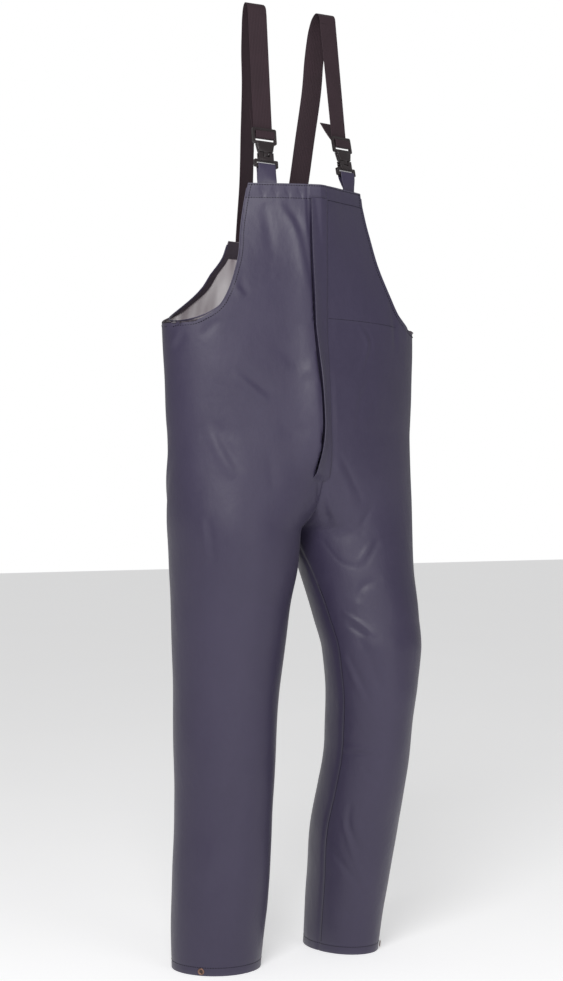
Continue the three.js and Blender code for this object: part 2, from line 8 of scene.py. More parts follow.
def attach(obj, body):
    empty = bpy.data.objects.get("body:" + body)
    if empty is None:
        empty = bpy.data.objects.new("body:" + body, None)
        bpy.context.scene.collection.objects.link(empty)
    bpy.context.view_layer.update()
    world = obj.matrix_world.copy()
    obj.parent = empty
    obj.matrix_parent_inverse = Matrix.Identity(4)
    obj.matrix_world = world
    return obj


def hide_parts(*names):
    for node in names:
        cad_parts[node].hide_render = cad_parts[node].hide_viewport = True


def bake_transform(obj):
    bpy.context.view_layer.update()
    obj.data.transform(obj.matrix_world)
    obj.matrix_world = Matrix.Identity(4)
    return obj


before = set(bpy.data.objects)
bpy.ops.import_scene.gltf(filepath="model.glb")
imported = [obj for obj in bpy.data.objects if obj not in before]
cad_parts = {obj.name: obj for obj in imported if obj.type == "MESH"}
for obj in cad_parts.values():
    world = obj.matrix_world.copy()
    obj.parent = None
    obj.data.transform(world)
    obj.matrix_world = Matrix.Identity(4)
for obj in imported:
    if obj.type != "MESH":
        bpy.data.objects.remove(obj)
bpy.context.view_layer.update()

MM = 0.001
CENTRE_SHIFT_Y = 13.75
CROTCH_Z, UNDERARM_Z, BIB_TOP_Z, BACK_TOP_Z = 765.0, 1120.0, 1366.0, 1281.0
CLOTH = 1.3                       # thickness of the cloth
SIDES = {"right": -1, "left": 1}  # the wearer's sides, as signs of X

# Rings of each leg: height, centre from the centre line, centre Y, half width, half depth.
LEG_RINGS = {
    "right": [
        (0, 135, 34, 79, 79), (60, 134, 32, 82, 82), (115, 132, 29, 84.5, 84.5),
        (235, 128, 25, 85.5, 85.5), (315, 126, 24, 87, 87), (395, 125, 22, 90, 90),
        (470, 124, 20, 93.5, 93.5), (555, 122.5, 15, 99.5, 100), (635, 121, 9, 105, 106),
        (700, 118.5, 4, 113, 113), (740, 119, 1, 116, 115),
    ],
    "left": [
        (0, 135, 47, 61, 86), (70, 133, 33, 64.5, 88), (130, 130.5, 18, 68, 90),
        (230, 128, -6, 74.5, 90.5), (305, 126, -33, 72.5, 91), (375, 125.5, -52, 70, 90.5),
        (420, 125, -59, 71.5, 90.5), (490, 125, -68, 78.5, 91), (550, 125, -67, 87, 93.5),
        (605, 124, -52, 94, 98), (690, 121, -27, 102.5, 104.5), (740, 119.5, -8, 113, 112),
    ],
}
# Rings of half the trunk: height, centre from the centre line, half width, front and back depth.
TRUNK_RINGS = [
    (765, 119.5, 119.5, 115, 115), (781, 112.5, 128, 113.5, 116), (809, 95, 146, 111.5, 116.5),
    (840, 79, 163, 112.5, 115), (880, 47, 195, 114.5, 112), (910, 22, 221, 115, 110),
    (942, 0, 245, 114, 108), (1030, 0, 249, 108, 114), (1075, 0, 252, 103, 117),
    (1120, 0, 254, 98, 119),
]
# Rows above the underarm: height at the centre line, height and half width at the armhole.
BIB_ROWS = [
    (1120, 1120, 254), (1145, 1122, 229), (1172, 1132, 207), (1198, 1147, 187),
    (1224, 1172, 170.5), (1250, 1206, 155), (1274, 1245, 141.5), (1298, 1285, 134),
    (1320, 1315, 127.5), (1341, 1341, 122), (1366, 1366, 117),
]
BACK_ROWS = [
    (1120, 1120, 254), (1142, 1128, 238), (1164, 1139, 209), (1186, 1162, 173),
    (1206, 1190, 139), (1226, 1221, 119), (1246, 1246, 98), (1264, 1264, 91), (1281, 1281, 85),
]
FRONT_COLUMNS, BACK_COLUMNS = 100, 60
ROW_STEP = 4.5
TOP_BAND = 25                     # depth of the turned band along the bib's top
BACK_BAND = 35

# Front flap: levels, sewn edge, and degrees that the free edge stands off the panel.
FLAP_LEVELS = [850, 866, 955, 1143, 1342]
FLAP_SEWN_X = [8, 8, 7, 9, 15]
FLAP_LIFT = [0, 14, 36, 20, 2]
FLAP_WIDTH = 34
FLAP_OFF = 2.9

# Folds: face, shape, width, height, then the places that the fold runs through, each as a
# distance out from the centre line and a level above the hem.
# valley and ridge are round, crease is sharp, and step has a ridge beside a valley.
PUCKER_PLACES = [20, 40, 60, 80, 100]
BAND_PUCKERS = [("front", "crease", 5, 3.4, (out, 1362), (out - 10, 1343)) for out in PUCKER_PLACES]
CROTCH_LEVELS = [850, 825, 795]
CROTCH_CREASES = [("front", "crease", 5, 2.2, (15, level), (40, level - 20)) for level in CROTCH_LEVELS]
SEAT_FOLDS = [
    ("back", "valley", 14, 3.0, (55, 880), (105, 840), (160, 810)),
    ("back", "ridge", 12, 2.4, (50, 845), (100, 805), (150, 770)),
]
FOLDS = {
    "right": BAND_PUCKERS + CROTCH_CREASES + SEAT_FOLDS + [
        ("front", "crease", 6, 4.0, (20, 865), (10, 835), (5, 800)),
        # bib
        ("front", "valley", 10, 2.2, (95, 1330), (85, 1230)),
        ("front", "step", 10, 2.2, (65, 1335), (40, 1280), (25, 1170)),
        ("front", "step", 8, 2.0, (155, 1190), (140, 1165)),
        # chest, below the armhole
        ("front", "valley", 8, 2.0, (190, 1125), (215, 1095)),
        ("front", "step", 9, 2.4, (240, 1100), (250, 1075)),
        ("front", "valley", 12, 1.8, (95, 1085), (40, 1045)),
        # belly
        ("front", "step", 12, 2.4, (165, 1040), (105, 990)),
        ("front", "valley", 9, 1.8, (45, 1030), (20, 1010)),
        ("front", "valley", 10, 1.7, (95, 955), (60, 925)),
        ("front", "step", 13, 2.6, (200, 950), (185, 900), (165, 860)),
        ("front", "valley", 10, 2.2, (110, 905), (105, 830)),
        # thigh
        ("front", "step", 9, 2.8, (215, 785), (205, 710)),
        ("front", "crease", 5, 1.2, (200, 740), (155, 730), (115, 745)),
        ("front", "valley", 10, 2.0, (140, 720), (170, 680)),
        ("front", "valley", 11, 1.7, (155, 665), (150, 620)),
        # shin
        ("front", "valley", 26, 3.6, (105, 490), (130, 425), (145, 355)),
        ("front", "valley", 22, 5.2, (145, 350), (160, 280), (175, 210)),
        ("front", "valley", 18, 4.4, (155, 220), (180, 140)),
        ("front", "ridge", 17, 3.2, (165, 305), (190, 150)),
        # back and outer side
        ("back", "valley", 12, 2.2, (235, 1060), (220, 1000), (205, 950)),
        ("back", "step", 14, 2.4, (245, 900), (230, 840), (215, 790)),
        ("back", "valley", 12, 2.0, (120, 640), (150, 590), (170, 540)),
        ("back", "crease", 7, 3.0, (80, 440), (125, 450), (175, 445)),
        ("back", "valley", 11, 2.6, (80, 470), (130, 490), (180, 485)),
        ("back", "valley", 10, 2.0, (100, 250), (140, 210), (175, 190)),
    ],
    "left": CROTCH_CREASES + SEAT_FOLDS + [
        # chest: the inner pocket's upper edge, and the fullness beside it
        ("front", "crease", 5, 1.8, (10, 1130), (65, 1130), (130, 1127)),
        ("front", "valley", 11, 3.6, (165, 1175), (172, 1130), (172, 1085)),
        ("front", "ridge", 9, 2.0, (195, 1140), (215, 1110)),
        ("front", "step", 9, 2.2, (85, 1125), (105, 1095), (85, 1045)),
        ("front", "valley", 10, 2.0, (105, 1035), (78, 990), (65, 935)),
        # thigh, fanning out from the crotch
        ("front", "ridge", 6, 4.4, (5, 835), (20, 810), (40, 770)),
        ("front", "valley", 6, 3.8, (5, 815), (20, 785), (35, 760)),
        ("front", "crease", 8, 4.0, (25, 900), (50, 860), (80, 810)),
        ("front", "ridge", 9, 2.4, (15, 885), (40, 845), (60, 805)),
        ("front", "valley", 8, 3.0, (100, 810), (80, 780), (72, 750)),
        ("front", "step", 10, 3.2, (100, 745), (70, 700)),
        ("front", "crease", 6, 2.6, (20, 750), (40, 710), (70, 695)),
        ("front", "valley", 9, 3.2, (105, 680), (70, 665), (60, 640)),
        # knee
        ("front", "ridge", 6, 3.4, (40, 620), (60, 605), (85, 580)),
        ("front", "valley", 8, 4.0, (45, 605), (70, 580)),
        ("front", "valley", 14, 3.8, (55, 590), (75, 535), (95, 475)),
        ("front", "step", 11, 2.0, (45, 550), (75, 465)),
        # shin
        ("front", "ridge", 6, 3.2, (55, 377), (70, 382), (115, 375)),
        ("front", "crease", 7, 3.8, (55, 371), (70, 374), (110, 368)),
        ("front", "valley", 9, 2.4, (75, 350), (110, 315)),
        ("front", "valley", 8, 3.2, (70, 285), (75, 240), (95, 195)),
        ("front", "ridge", 7, 2.8, (65, 250), (80, 205), (120, 110)),
        ("front", "valley", 10, 3.2, (60, 200), (80, 160), (115, 115)),
        ("front", "valley", 7, 2.0, (90, 75), (125, 70)),
        # back of the bent knee, and the outer side
        ("back", "crease", 8, 4.0, (70, 430), (120, 420), (175, 425)),
        ("back", "valley", 11, 3.4, (75, 470), (125, 460), (180, 470)),
        ("back", "valley", 10, 2.8, (70, 390), (125, 375), (170, 380)),
        ("back", "step", 13, 2.4, (220, 1040), (235, 980), (240, 930)),
        ("front", "valley", 12, 2.2, (212, 700), (205, 640), (196, 590)),
        ("back", "valley", 10, 2.0, (195, 300), (185, 250), (160, 220)),
    ],
}


# Share of each fold's height that is kept, and how much wider it spreads.
FOLD_HEIGHT = {"right": 0.62, "left": 0.6}
FOLD_SPREAD = {"right": 1.35, "left": 0.95}


# ---- shape of the cloth --------------------------------------------------------------
def ease(x):
    k = np.clip(x, 0, 1)
    return k * k * (3 - 2 * k)


def smooth_through(levels, values, at):
    """Values at new levels, on monotone curves through a table."""
    levels, values, at = (np.asarray(a, float) for a in (levels, values, at))
    if values.ndim == 1:
        values = values[:, None]
    gaps = np.diff(levels)[:, None]
    rises = np.diff(values, axis=0) / gaps
    total = rises[:-1] + rises[1:]
    same = rises[:-1] * rises[1:] > 0
    inner = np.where(same, 2 * rises[:-1] * rises[1:] / np.where(same, total, 1), 0)
    slopes = np.vstack([rises[:1], inner, rises[-1:]])
    k = np.clip(np.searchsorted(levels, at, side="right") - 1, 0, len(levels) - 2)
    s = ((at - levels[k]) / gaps[k, 0])[:, None]
    a, b, g = values[k], values[k + 1], gaps[k]
    ends = a * (1 + 2 * s) * (1 - s) ** 2 + b * s * s * (3 - 2 * s)
    return ends + g * (slopes[k] * s * (1 - s) ** 2 - slopes[k + 1] * s * s * (1 - s))


def lower_grid(name, levels, share):
    """Leg and trunk of one half: a row for each level, from the centre front round to the back."""
    side = SIDES[name]
    legs = [(z, u, y, half, depth, depth) for z, u, y, half, depth in LEG_RINGS[name]]
    trunk = [(z, u, 0, half, front, back) for z, u, half, front, back in TRUNK_RINGS]
    table = np.array(legs + trunk, float)
    u, y, half, front, back = smooth_through(table[:, 0], table[:, 1:], levels).T[:, :, None]
    z = np.asarray(levels, float)[:, None]
    start = np.where(z >= CROTCH_Z, np.arccos(np.clip(u / half, -1, 1)), 0)
    t = start + (2 * np.pi - 2 * start) * share + np.radians(12) * ease((CROTCH_Z - z) / 200)
    depth = np.where(np.sin(t) > 0, front, back)
    x = side * (u - half * np.cos(t))
    return np.stack([x, y - depth * np.sin(t), np.broadcast_to(z, t.shape)], axis=2)


def front_y(u, z):
    low = -98 * np.sqrt(np.maximum(0, 1 - (u / 254) ** 2))
    high = -93.5 + 49.5 * (np.maximum(u, 0) / 117) ** 1.2
    w = ease((z - UNDERARM_Z) / (BIB_TOP_Z - UNDERARM_Z))
    return low * (1 - w) + high * w


def back_y(u, z):
    low = 119 * np.sqrt(np.maximum(0, 1 - (u / 254) ** 2))
    high = 90 - 10 * (u / 85) ** 2
    w = ease((z - UNDERARM_Z) / (BACK_TOP_Z - UNDERARM_Z))
    return low * (1 - w) + high * w


def upper_grid(name, rows, depth_at, climb, share):
    """Bib or back of one half above the underarm. share runs from the centre line to the armhole."""
    place = np.asarray(climb) * (len(rows) - 1)
    centre, edge, half = smooth_through(np.arange(len(rows)), rows, place).T[:, :, None]
    mixed = np.minimum(1, place / 3)[:, None]
    f = np.sin(share * np.pi / 2) * (1 - mixed) + share * mixed
    u, z = half * f, centre + (edge - centre) * f * f
    return np.stack([SIDES[name] * u, depth_at(u, z), z], axis=2)


def grid_normals(points, side):
    over, up = np.gradient(points, axis=1), np.gradient(points, axis=0)
    normals = np.cross(over, up) * side
    return normals / (np.linalg.norm(normals, axis=2, keepdims=True) + 1e-9)


def curve(points, count):
    """Smooth line through a few points, as count points."""
    points = np.asarray(points, float)
    if len(points) == 2:
        return points[0] + (points[1] - points[0]) * np.linspace(0, 1, count)[:, None]
    padded = np.vstack([2 * points[0] - points[1], points, 2 * points[-1] - points[-2]])
    at = np.linspace(0, len(points) - 1, count)
    k = np.minimum(at.astype(int), len(points) - 2)
    t = (at - k)[:, None]
    a, b, c, d = (padded[k + n] for n in range(4))
    return 0.5 * (2 * b + (c - a) * t + (2 * a - 5 * b + 4 * c - d) * t ** 2
                  + (3 * b - a - 3 * c + d) * t ** 3)


def fold_push(points, normals, shape, width, height, *line):
    """How far one fold moves each point along its normal."""
    line = curve(line, 6 * len(line))
    push = np.zeros(points.shape[:2])
    near = ((points > line.min(0) - 3 * width) & (points < line.max(0) + 3 * width)).all(2)
    p, n = points[near], normals[near]
    if not len(p):
        return push
    best, signed, along = np.full(len(p), 1e9), np.zeros(len(p)), np.zeros(len(p))
    for k, (a, b) in enumerate(zip(line[:-1], line[1:])):
        run = b - a
        t = np.clip((p - a) @ run / (run @ run), 0, 1)
        off = p - a - t[:, None] * run
        off -= n * (off * n).sum(1)[:, None] * 0.7
        distance = np.linalg.norm(off, axis=1)
        closer = distance < best
        best[closer] = distance[closer]
        signed[closer] = (np.sign((np.cross(run, n) * off).sum(1)) * distance)[closer]
        along[closer] = ((k + t) / (len(line) - 1))[closer]
    fade = np.maximum(0, np.sin(np.pi * along)) ** 0.6
    spread = 0.5 * width
    section = {
        "valley": lambda: -np.exp(-0.5 * (best / spread) ** 2),
        "ridge": lambda: np.exp(-0.5 * (best / spread) ** 2),
        "crease": lambda: -np.exp(-best / (0.7 * spread)),
        "step": lambda: signed / spread * np.exp(0.5 - 0.5 * (signed / spread) ** 2),
    }[shape]()
    push[near] = height * section * fade
    return push


def slack(points):
    """Broad unevenness of cloth that is filled out but not tight."""
    flat = points.reshape(-1, 3)
    wide = [noise.noise((x * 0.008, y * 0.008, z * 0.0065)) for x, y, z in flat]
    fine = [noise.noise((x * 0.022 + 7, y * 0.022, z * 0.014)) for x, y, z in flat]
    return (2.2 * np.array(wide) + 0.9 * np.array(fine)).reshape(points.shape[:2])


def under_flap(points):
    """1 where the front flap lies over the cloth, 0 well away from it."""
    x, y, z = points[..., 0], points[..., 1], points[..., 2]
    across = ease((24 - np.abs(x + 4)) / 6)
    return across * ease((z - 860) / 12) * (y < 0)


def flap_at(z):
    """Sewn edge, reach and stand-off of the front flap at given heights."""
    edge = smooth_through(FLAP_LEVELS, FLAP_SEWN_X, z)[:, 0]
    lift = np.radians(smooth_through(FLAP_LEVELS, FLAP_LIFT, z)[:, 0])
    return edge, FLAP_WIDTH * np.cos(1.2 * lift), FLAP_WIDTH * np.sin(1.1 * lift)


def beside_flap(points):
    """Height of the roll of cloth that stands up against the flap's free edge."""
    z = np.clip(points[..., 2], FLAP_LEVELS[0], FLAP_LEVELS[-1])
    edge, reach, stand = (a.reshape(z.shape) for a in flap_at(z.ravel()))
    away = edge - reach - 1.5 - points[..., 0]
    roll = np.where(away > 0, np.exp(-((away / 30) ** 2)), 1 - ease(-away / 6))
    ends = ease((points[..., 2] - 840) / 60) * ease((1345 - points[..., 2]) / 60)
    return 0.9 * stand * roll * ends * (points[..., 1] < 0)


def folds_on(name, front, back):
    """One half's folds, each with its line laid on the uncreased cloth."""
    for face, shape, width, height, *places in FOLDS[name]:
        cloth = (front if face == "front" else back).reshape(-1, 3)
        line = [cloth[np.argmin(np.hypot(cloth[:, 0] - SIDES[name] * out, cloth[:, 2] - level))]
                for out, level in places]
        yield shape, width, height, *line


def crease_grid(name, part, points, folds):
    """A grid of cloth with its slack, folds and the band over the flap's top pressed in."""
    side = SIDES[name]
    normals = grid_normals(points, side)
    low = points[..., 2] < CROTCH_Z
    push = slack(points)
    for shape, width, height, *line in folds:
        push += fold_push(points, normals, shape, width * FOLD_SPREAD[name],
                          height * FOLD_HEIGHT[name], *line)
    cover = under_flap(points)
    push = push * (1 - 0.8 * cover) - 0.5 * cover
    x, z = points[..., 0], points[..., 2]
    over_flap = ease((19 - np.abs(x + 3)) / 2.5) * ease((z - (BIB_TOP_Z - TOP_BAND)) / 4)
    push += 1.7 * over_flap * (points[..., 1] < 0)
    if part == "front":
        push -= 1.1 * np.exp(-((z - (BIB_TOP_Z - TOP_BAND)) / 2.6) ** 2) * (1 - over_flap)
    push -= 0.7 * np.exp(-((z - 14) / 3.0) ** 2)
    seam = np.exp(-(np.abs(x) / 2.2) ** 2) * (z > CROTCH_Z - 20)
    push -= 1.1 * seam * (1 - cover)
    if side < 0:
        push += beside_flap(points)
    for column, depth in ((0, 1.6), (1, 0.4)):
        column = column if part == "front" else -1 - column
        push[:, column] -= depth * (z[:, column] < CROTCH_Z)
    moved = points + normals * push[..., None]
    moved[..., 2] = np.where(points[..., 2] < 1, 0, np.maximum(moved[..., 2], 0))
    inward = side * moved[..., 0]
    moved[..., 0] = side * np.maximum(inward, np.where(low, 0.5, 0.0))
    return moved


def soften_hip(grid, levels, shares):
    """Evens out the change from leg to trunk round the outer side."""
    soft = grid.copy()
    for _ in range(70):
        soft[1:-1] = (soft[:-2] + 2 * soft[1:-1] + soft[2:]) / 4
    near = ease((150 - np.abs(levels - 790)) / 90)[:, None]
    outer = ease((np.minimum(shares, 1 - shares) - 0.09) / 0.14)[None]
    return grid + (soft - grid) * (near * outer)[..., None]


def half_garment(name):
    """The three grids of one half, creased: leg and trunk, bib, and back."""
    shares = np.concatenate([np.linspace(0, 0.5, FRONT_COLUMNS + 1),
                             np.linspace(0.5, 1, BACK_COLUMNS + 1)[1:]])
    levels = np.linspace(0, UNDERARM_Z, round(UNDERARM_Z / ROW_STEP) + 1)
    lower = soften_hip(lower_grid(name, levels, shares), levels, shares)
    bib_climb = np.linspace(0, 1, round((BIB_TOP_Z - UNDERARM_Z) / ROW_STEP) + 1)
    back_climb = np.linspace(0, 1, round((BACK_TOP_Z - UNDERARM_Z) / ROW_STEP) + 1)
    bib = upper_grid(name, BIB_ROWS, front_y, bib_climb, 2 * shares[: FRONT_COLUMNS + 1])
    back = upper_grid(name, BACK_ROWS, back_y, back_climb, 2 * (1 - shares[FRONT_COLUMNS:]))
    front_part = np.concatenate([lower[:, : FRONT_COLUMNS + 1], bib[1:]])
    back_part = np.concatenate([lower[:, FRONT_COLUMNS:], back[1:]])
    rows = len(lower)
    folds = list(folds_on(name, front_part, back_part))
    front_part = crease_grid(name, "front", front_part, folds)
    back_part = crease_grid(name, "back", back_part, folds)
    middle = (front_part[:rows, -1] + back_part[:rows, 0]) / 2
    front_part[:rows, -1] = back_part[:rows, 0] = middle
    low = levels < CROTCH_Z
    inner = (front_part[:rows, 0] + back_part[:rows, -1]) / 2
    front_part[:rows, 0][low] = back_part[:rows, -1][low] = inner[low]
    centre = np.concatenate([np.zeros(low.sum(), bool), np.ones(rows - low.sum(), bool)])
    front_part[:rows, 0, 0][centre] = back_part[:rows, -1, 0][centre] = 0
    front_part[rows:, 0, 0] = 0
    back_part[rows:, -1, 0] = 0
    return {"front": front_part, "back": back_part, "rows": rows, "levels": levels}


# ---- making meshes -------------------------------------------------------------------
def to_frame(points):
    points = np.asarray(points, float).reshape(-1, 3) * MM
    return points + (0, CENTRE_SHIFT_Y * MM, 0)


def make_piece(name, points, faces, finishes, face_finish=None, smooth=True):
    """A mesh object from points in millimetres, with its place in its mesh."""
    mesh = bpy.data.meshes.new(name)
    mesh.from_pydata(to_frame(points).tolist(), [], [tuple(map(int, f)) for f in faces])
    piece = bpy.data.objects.new(name, mesh)
    bpy.context.scene.collection.objects.link(piece)
    for finish in finishes:
        mesh.materials.append(finish)
    if face_finish is not None:
        mesh.polygons.foreach_set("material_index", np.asarray(face_finish, np.int32))
    mesh.polygons.foreach_set("use_smooth", [smooth] * len(mesh.polygons))
    mesh.update()
    return piece


def only(piece):
    """Selects one object and makes it active."""
    for other in bpy.context.selected_objects:
        other.select_set(False)
    piece.select_set(True)
    bpy.context.view_layer.objects.active = piece


def apply_modifier(piece, kind, **settings):
    modifier = piece.modifiers.new(kind.lower(), kind)
    for key, value in settings.items():
        setattr(modifier, key, value)
    only(piece)
    bpy.ops.object.modifier_apply(modifier=modifier.name)


def thicken(piece, thickness, inner=0, rim=0):
    """Gives a sheet its thickness on the inner side. inner and rim pick the finishes there."""
    apply_modifier(piece, "SOLIDIFY", thickness=thickness * MM, offset=-1,
                   material_offset=inner, material_offset_rim=rim, use_even_offset=False)
    only(piece)
    bpy.ops.object.shade_smooth_by_angle(angle=math.radians(55))


def grid_faces(rows, columns, flipped=False, start=0):
    at = start + np.arange(rows * columns).reshape(rows, columns)
    a, b, c, d = at[:-1, :-1], at[:-1, 1:], at[1:, 1:], at[1:, :-1]
    order = (d, c, b, a) if flipped else (a, b, c, d)
    return np.stack([q.ravel() for q in order], axis=1)


def weld(piece, distance=0.02):
    only(piece)
    bpy.ops.object.mode_set(mode="EDIT")
    bpy.ops.mesh.select_all(action="SELECT")
    bpy.ops.mesh.remove_doubles(threshold=distance * MM)
    bpy.ops.object.mode_set(mode="OBJECT")


def settle(piece, body, slot_name, *nodes):
    """The piece rides on a body and hides the CAD nodes that it stands for. slot_name is not used."""
    if body:
        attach(piece, body)
    if nodes:
        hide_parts(*nodes)
    return piece


def band(name, points, normals, near, far, finish, flipped, closed=False):
    """Inner band between two depths below a grid of cloth points."""
    rows, columns = points.shape[:2]
    piece = make_piece(name, points - normals * near, grid_faces(rows, columns, flipped), [finish])
    if closed:
        weld(piece)
    thicken(piece, far - near)
    return piece


# ---- finishes ------------------------------------------------------------------------
class Value:
    """A number in a material's nodes, so that shader maths is written as arithmetic."""

    def __init__(self, tree, socket):
        self.tree, self.socket = tree, socket

    def maths(self, operation, other):
        node = self.tree.nodes.new("ShaderNodeMath")
        node.operation = operation
        for place, value in enumerate((self, other)):
            if isinstance(value, Value):
                self.tree.links.new(value.socket, node.inputs[place])
            else:
                node.inputs[place].default_value = value
        return Value(self.tree, node.outputs[0])

    def __add__(self, other):
        return self.maths("ADD", other)

    def __sub__(self, other):
        return self.maths("SUBTRACT", other)

    def __mul__(self, other):
        return self.maths("MULTIPLY", other)

    __radd__, __rmul__ = __add__, __mul__


class Finish:
    """A material: its shader's constants, and nodes added one at a time."""

    def __init__(self, name, **constants):
        self.material = bpy.data.materials.new(name)
        self.material.use_nodes = True
        self.tree = self.material.node_tree
        self.shader = self.tree.nodes["Principled BSDF"]
        for socket, value in constants.items():
            self.shader.inputs[socket.replace("_", " ")].default_value = value
        self.coords = self.tree.nodes.new("ShaderNodeTexCoord").outputs["Object"]

    def node(self, kind, output=0, settings=(), **sockets):
        made = self.tree.nodes.new(kind)
        for key, value in dict(settings).items():
            setattr(made, key, value)
        for key, value in sockets.items():
            socket = made.inputs[int(key[1:]) if key[0] == "_" else key]
            if isinstance(value, Value):
                self.tree.links.new(value.socket, socket)
            else:
                socket.default_value = value
        return Value(self.tree, made.outputs[output])

    def vector(self, stretch=(1, 1, 1)):
        made = self.tree.nodes.new("ShaderNodeMapping")
        self.tree.links.new(self.coords, made.inputs["Vector"])
        made.inputs["Scale"].default_value = stretch
        return Value(self.tree, made.outputs[0])

    def noise(self, scale, detail=2.0, stretch=(1, 1, 1)):
        return self.node("ShaderNodeTexNoise", "Fac", Vector=self.vector(stretch),
                         Scale=scale, Detail=detail)

    def blend(self, factor, first, second):
        return self.node("ShaderNodeMix", 2, {"data_type": "RGBA"}, _0=factor, _6=first, _7=second)

    def finish(self, colour=None, roughness=None, height=None, depth=0.0003, strength=1.0):
        for value, socket in ((colour, "Base Color"), (roughness, "Roughness")):
            if value is not None:
                self.tree.links.new(value.socket, self.shader.inputs[socket])
        if height is not None:
            bump = self.node("ShaderNodeBump", 0, Height=height, Strength=strength, Distance=depth)
            self.tree.links.new(bump.socket, self.shader.inputs["Normal"])
        return self.material


def coated_cloth(name, deep, light, worn):
    """Satin coating on knit: fine grain, cloudy colour, and paler rubbed edges."""
    f = Finish(name, Sheen_Weight=0.05, Sheen_Roughness=0.4, Specular_IOR_Level=0.42)
    cloud, mottle, grain = f.noise(7.0, 3.0), f.noise(90.0, 3.0), f.noise(1100.0, 2.0)
    crumple = f.noise(17.0, 5.0, (1.2, 1.2, 0.7))
    colour = f.blend(cloud * 0.7 + mottle * 0.3, deep, light)
    wear = f.node("ShaderNodeAttribute", "Fac", {"attribute_name": "rubbed"})
    colour = f.blend(wear * (0.25 + mottle * 0.5), colour, worn)
    roughness = 0.34 + cloud * 0.12 + mottle * 0.10
    height = crumple * 16.0 + mottle * 1.3 + grain * 1.4
    return f.finish(colour, roughness, height, 0.00016, 0.8)


def knit_lining(name):
    """Pale knit inner face with fine upright ribs, darkened in upright streaks of painted shade."""
    f = Finish(name, Sheen_Weight=0.3, Sheen_Roughness=0.6)
    ribs = f.node("ShaderNodeTexWave", "Fac", {"bands_direction": "X"}, Vector=f.vector(),
                  Scale=190.0, Distortion=1.2, Detail=2.0)
    courses = f.node("ShaderNodeTexWave", "Fac", {"bands_direction": "Z"}, Vector=f.vector(),
                     Scale=260.0, Distortion=1.0, Detail=1.0)
    cloud = f.noise(14.0, 3.0)
    # Painted shade: upright streaks of stretched noise pull the pale knit towards the dim colour below.
    painted_shade_streaks = f.noise(24.0, 2.0, (1, 1, 0.12))
    tone = (painted_shade_streaks - 0.36) * 3.0 + cloud * 0.2 + ribs * 0.15
    tone = f.node("ShaderNodeClamp", 0, Value=tone)
    # Dim colour: painted shade in the streaks; pale colour: the knit's own.
    colour = f.blend(tone, (0.36, 0.30, 0.33, 1), (0.92, 0.88, 0.90, 1))
    return f.finish(colour, 0.78 + cloud * 0.14, ribs * 0.5 + courses * 0.5, 0.0003, 0.5)


def ribbed_elastic(name):
    """Woven elastic: lengthwise ribs and close cross weave."""
    f = Finish(name, Sheen_Weight=0.08, Sheen_Roughness=0.4, Specular_IOR_Level=0.3)
    across = f.node("ShaderNodeSeparateXYZ", "X", Vector=f.node("ShaderNodeUVMap"))
    along = f.node("ShaderNodeSeparateXYZ", "Y", Vector=f.node("ShaderNodeUVMap"))
    ribs = (across * 78.0).maths("SINE", 0.0) * 0.5 + 0.5
    weave = (along * 3900.0).maths("SINE", 0.0) * 0.5 + 0.5
    cloud, lint = f.noise(30.0, 3.0), f.noise(900.0, 2.0)
    tone = ribs * 0.35 + weave * 0.2 + cloud * 0.35 + lint * 0.1
    colour = f.blend(tone, (0.011, 0.005, 0.007, 1), (0.045, 0.024, 0.033, 1))
    return f.finish(colour, 0.62 + cloud * 0.2, ribs * 0.6 + weave * 0.4, 0.0004, 0.6)


def moulded_plastic(name):
    """Glossy black moulded nylon with faint flow marks."""
    f = Finish(name, Coat_Weight=0.3, Coat_Roughness=0.12)
    flow, speck = f.noise(60.0, 3.0, (1, 1, 0.3)), f.noise(1800.0, 2.0)
    colour = f.blend(flow, (0.010, 0.007, 0.008, 1), (0.028, 0.020, 0.022, 1))
    return f.finish(colour, 0.20 + flow * 0.14 + speck * 0.06, speck, 0.00004, 0.3)


def aged_copper(name, deep, light):
    """Copper-plated brass, duller in patches."""
    f = Finish(name, Metallic=1.0)
    patch, scratch = f.noise(320.0, 4.0), f.noise(2600.0, 2.0, (1, 1, 0.15))
    colour = f.blend(patch, deep, light)
    return f.finish(colour, 0.26 + patch * 0.25 + scratch * 0.1, scratch, 0.00004, 0.4)


def sewing_thread(name, deep, light):
    """Twisted polyester thread."""
    f = Finish(name, Specular_IOR_Level=0.12)
    twist = f.noise(2400.0, 2.0, (1, 1, 0.4))
    return f.finish(f.blend(twist, deep, light), 0.6 + twist * 0.2, twist, 0.0001, 0.6)


COATED = coated_cloth("coated_cloth", (0.031, 0.025, 0.054, 1), (0.049, 0.040, 0.078, 1),
                      (0.085, 0.078, 0.11, 1))
COATED_DARK = coated_cloth("turned_coated_cloth", (0.046, 0.034, 0.048, 1),
                           (0.068, 0.052, 0.070, 1), (0.09, 0.075, 0.10, 1))
LINING = knit_lining("knit_inner_face")
ELASTIC = ribbed_elastic("ribbed_elastic")
PLASTIC = moulded_plastic("moulded_plastic")
COPPER = aged_copper("copper_rim", (0.12, 0.07, 0.055, 1), (0.40, 0.24, 0.19, 1))
COPPER_DARK = aged_copper("copper_well", (0.05, 0.04, 0.04, 1), (0.14, 0.09, 0.08, 1))
THREAD = sewing_thread("dark_thread", (0.0010, 0.0009, 0.0022, 1), (0.004, 0.0035, 0.008, 1))


# ---- body of the garment -------------------------------------------------------------
def rubbed_edges(points, edges):
    """Share of rubbing at each point, highest on the nearest edge."""
    nearest = np.full(len(points), 1e9)
    for edge in edges:
        for point in edge:
            nearest = np.minimum(nearest, ((points - point) ** 2).sum(1))
    return np.exp(-np.sqrt(nearest) / 3.5)


